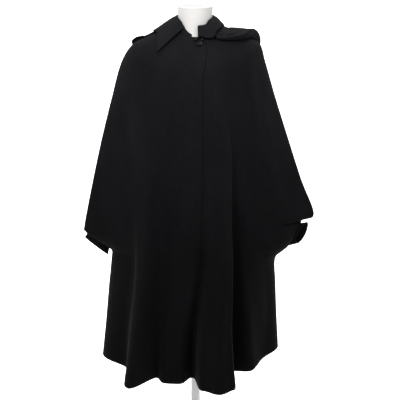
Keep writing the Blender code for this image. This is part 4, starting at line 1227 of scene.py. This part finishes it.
formPiece.data.set_sharp_from_angle(angle=math.radians(form["sharpDeg"]))


def makeFormWhite(name, dark, light):
    material, tree, shader = nodesOf(name)
    place = tree.nodes.new("ShaderNodeTexCoord").outputs["Object"]
    fine = noiseNode(tree, place, *form["fine"])
    broad = noiseNode(tree, place, *form["broad"])
    tone = mathNode(tree, "ADD", mathNode(tree, "MULTIPLY", broad, form["broadPart"]),
                    mathNode(tree, "MULTIPLY", fine, 1.0 - form["broadPart"]))
    tree.links.new(rampNode(tree, tone, ((0.3, dark), (0.7, light))), shader.inputs["Base Color"])
    tree.links.new(greyRamp(tree, fine, form["roughness"]), shader.inputs["Roughness"])
    tree.links.new(bumpNode(tree, fine, *form["bump"]), shader.inputs["Normal"])
    return material


formPiece.data.materials.append(makeFormWhite("formWhite", form["dark"], form["light"]))
# painted shade: a darker copy of the form's white for the cap's upward faces
formPiece.data.materials.append(makeFormWhite("neckCapPaintedShade", form["capShadeDark"], form["capShadeLight"]))
for face in formPiece.data.polygons:
    if face.center.z > form["capFromZ"] and face.normal.z > form["capUp"]:
        face.material_index = 1
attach(formPiece, "root")
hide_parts("form_body")
print("form made")

# pole and base of the form
stand = {
    "poleRadius": 0.014,
    "baseRadius": 0.175,
    "baseThickness": 0.014,
    "baseRound": 0.0045,
    "collarRadius": 0.026,
    "collarHeight": 0.030,
    "poleTop": 0.7297,
    "gap": 0.0003,           # between the base and the pole's foot
    "footRound": 0.0012,
    "poleRound": 0.0015,
    "collarRound": 0.006,
    "collarBevel": 0.001,
    "sharpDeg": 40.0,
    "dark": (0.93, 0.93, 0.93),
    "light": (0.97, 0.97, 0.97),
    "peel": (420.0, 3.0, 0.5),
    "worn": (22.0, 4.0, 0.6),
    "roughness": (0.28, 0.40),
    "bump": (0.12, 0.0004),
}
foot = stand["baseThickness"] + stand["gap"]
baseProfile = [(0.0, stand["baseThickness"])]
baseProfile += arc(stand["baseRadius"] - stand["baseRound"], stand["baseThickness"] - stand["baseRound"],
                   stand["baseRound"], 90.0, 0.0, 9)
footRound, poleRound, collarRound = stand["footRound"], stand["poleRound"], stand["collarRound"]
baseProfile += arc(stand["baseRadius"] - footRound, footRound, footRound, 0.0, -90.0, 5) + [(0.0, 0.0)]
basePiece = lathe("standBase", baseProfile, 160)
collarR, collarTop = stand["collarRadius"], foot + stand["collarHeight"]
poleProfile = [(0.0, stand["poleTop"])]
poleProfile += arc(stand["poleRadius"] - poleRound, stand["poleTop"] - poleRound, poleRound, 90.0, 0.0, 5)
poleProfile += [(stand["poleRadius"], collarTop)]
poleProfile += arc(collarR - collarRound, collarTop - collarRound, collarRound, 90.0, 0.0, 8)
bevel = stand["collarBevel"]
poleProfile += [(collarR, foot + bevel), (collarR - bevel, foot), (0.0, foot)]
polePiece = lathe("standPole", poleProfile, 72)
paint, tree, shader = nodesOf("standPaint")
place = tree.nodes.new("ShaderNodeTexCoord").outputs["Object"]
peel = noiseNode(tree, place, *stand["peel"])
worn = noiseNode(tree, place, *stand["worn"])
tree.links.new(rampNode(tree, worn, ((0.3, stand["dark"]), (0.7, stand["light"]))),
               shader.inputs["Base Color"])
tree.links.new(greyRamp(tree, worn, stand["roughness"]), shader.inputs["Roughness"])
tree.links.new(bumpNode(tree, peel, *stand["bump"]), shader.inputs["Normal"])
for piece, node in ((basePiece, "base"), (polePiece, "pole")):
    piece.data.set_sharp_from_angle(angle=math.radians(stand["sharpDeg"]))
    piece.data.materials.append(paint)
    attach(piece, "root")
    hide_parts(node)
print("stand made")


# floor, light and camera
studio = {
    "floorHalf": 12.0,
    "sweepStart": 3.0,       # the floor sweeps up behind, from this y
    "sweepRadius": 1.5,
    "sweepSteps": 24,
    "sweepFirst": 0.1,       # angle of its first row
    "wallTop": 7.0,
    "floor": (0.86, 0.86, 0.86),
    "floorLight": (0.88, 0.88, 0.88),
    "roughness": 0.9,
    "specular": 0.2,
    "world": 0.21,
    "floorGlow": 0.85,       # keeps the pale sweep white behind the dark cloth
    "glowStart": 0.05,       # in y, and fully on from glowFull
    "glowFull": 0.45,
    "cameraPlace": (0.014017, -2.5, 1.20),
    "pitchDownDeg": 9.68,
    "lens": 75.18,
    "sensor": 36.0,
    "clip": (0.05, 60.0),
}
size = studio["floorHalf"]
start, bend = studio["sweepStart"], studio["sweepRadius"]
profile = [(-size, 0.0), (start, 0.0)]
for angle in np.linspace(studio["sweepFirst"], math.pi / 2, studio["sweepSteps"]):
    profile.append((start + bend * math.sin(angle), bend - bend * math.cos(angle)))
profile.append((start + bend, studio["wallTop"]))
floorVertices, floorFaces = [], []
for y, z in profile:
    floorVertices += [(-size, y, z), (size, y, z)]
for k in range(len(profile) - 1):
    floorFaces.append((2 * k, 2 * k + 1, 2 * k + 3, 2 * k + 2))
floor = newMesh("studioFloor", floorVertices, floorFaces)
floorPaint, tree, shader = nodesOf("studioFloorPaint")
place = tree.nodes.new("ShaderNodeTexCoord").outputs["Object"]
floorTone = rampNode(tree, noiseNode(tree, place, 3.0), ((0.3, studio["floor"]), (0.7, studio["floorLight"])))
tree.links.new(floorTone, shader.inputs["Base Color"])
shader.inputs["Roughness"].default_value = studio["roughness"]
shader.inputs["Specular IOR Level"].default_value = studio["specular"]
shader.inputs["Emission Color"].default_value = (1.0, 1.0, 1.0, 1.0)
apart = tree.nodes.new("ShaderNodeSeparateXYZ")
tree.links.new(place, apart.inputs["Vector"])
behind = tree.nodes.new("ShaderNodeMapRange")
behind.interpolation_type = "SMOOTHSTEP"
for socket, key in (("From Min", "glowStart"), ("From Max", "glowFull"), ("To Max", "floorGlow")):
    behind.inputs[socket].default_value = studio[key]
tree.links.new(apart.outputs["Y"], behind.inputs["Value"])
tree.links.new(behind.outputs["Result"], shader.inputs["Emission Strength"])
floor.data.materials.append(floorPaint)

world = bpy.data.worlds.new("studioWorld")
bpy.context.scene.world = world
world.use_nodes = True
world.node_tree.nodes["Background"].inputs["Color"].default_value = (1.0, 1.0, 1.0, 1.0)
world.node_tree.nodes["Background"].inputs["Strength"].default_value = studio["world"]

lightColumns = ("name", "x", "y", "z", "aimY", "aimZ", "width", "height", "watts")
lights = (
    ("key", -1.15, -2.3, 2.9, 0.0, 1.15, 0.7, 0.7, 54.0),
    ("fill", 1.7, -2.1, 2.7, 0.0, 1.3, 0.8, 0.8, 26.0),
    ("top", -0.1, -0.8, 3.4, 0.0, 1.1, 0.9, 0.9, 9.0),
    ("backdrop", 0.0, 1.2, 4.2, 2.8, 0.6, 5.0, 2.5, 160.0),
)
for row in lights:
    values = dict(zip(lightColumns, row))
    data = bpy.data.lights.new(values["name"], "AREA")
    data.shape = "RECTANGLE"
    data.size, data.size_y = values["width"], values["height"]
    data.energy = values["watts"]
    lamp = bpy.data.objects.new(values["name"], data)
    lamp.location = (values["x"], values["y"], values["z"])
    aim = Vector((0.0, values["aimY"], values["aimZ"])) - lamp.location
    lamp.rotation_euler = aim.to_track_quat("-Z", "Y").to_euler()
    bpy.context.scene.collection.objects.link(lamp)

cameraData = bpy.data.cameras.new("camera")
cameraData.lens = studio["lens"]
cameraData.sensor_width = studio["sensor"]
cameraData.clip_start, cameraData.clip_end = studio["clip"]
camera = bpy.data.objects.new("camera", cameraData)
camera.location = studio["cameraPlace"]
camera.rotation_euler = (math.radians(90.0 - studio["pitchDownDeg"]), 0.0, 0.0)
bpy.context.scene.collection.objects.link(camera)
bpy.context.scene.camera = camera
bpy.context.scene.view_settings.view_transform = "Standard"
print("studio made")
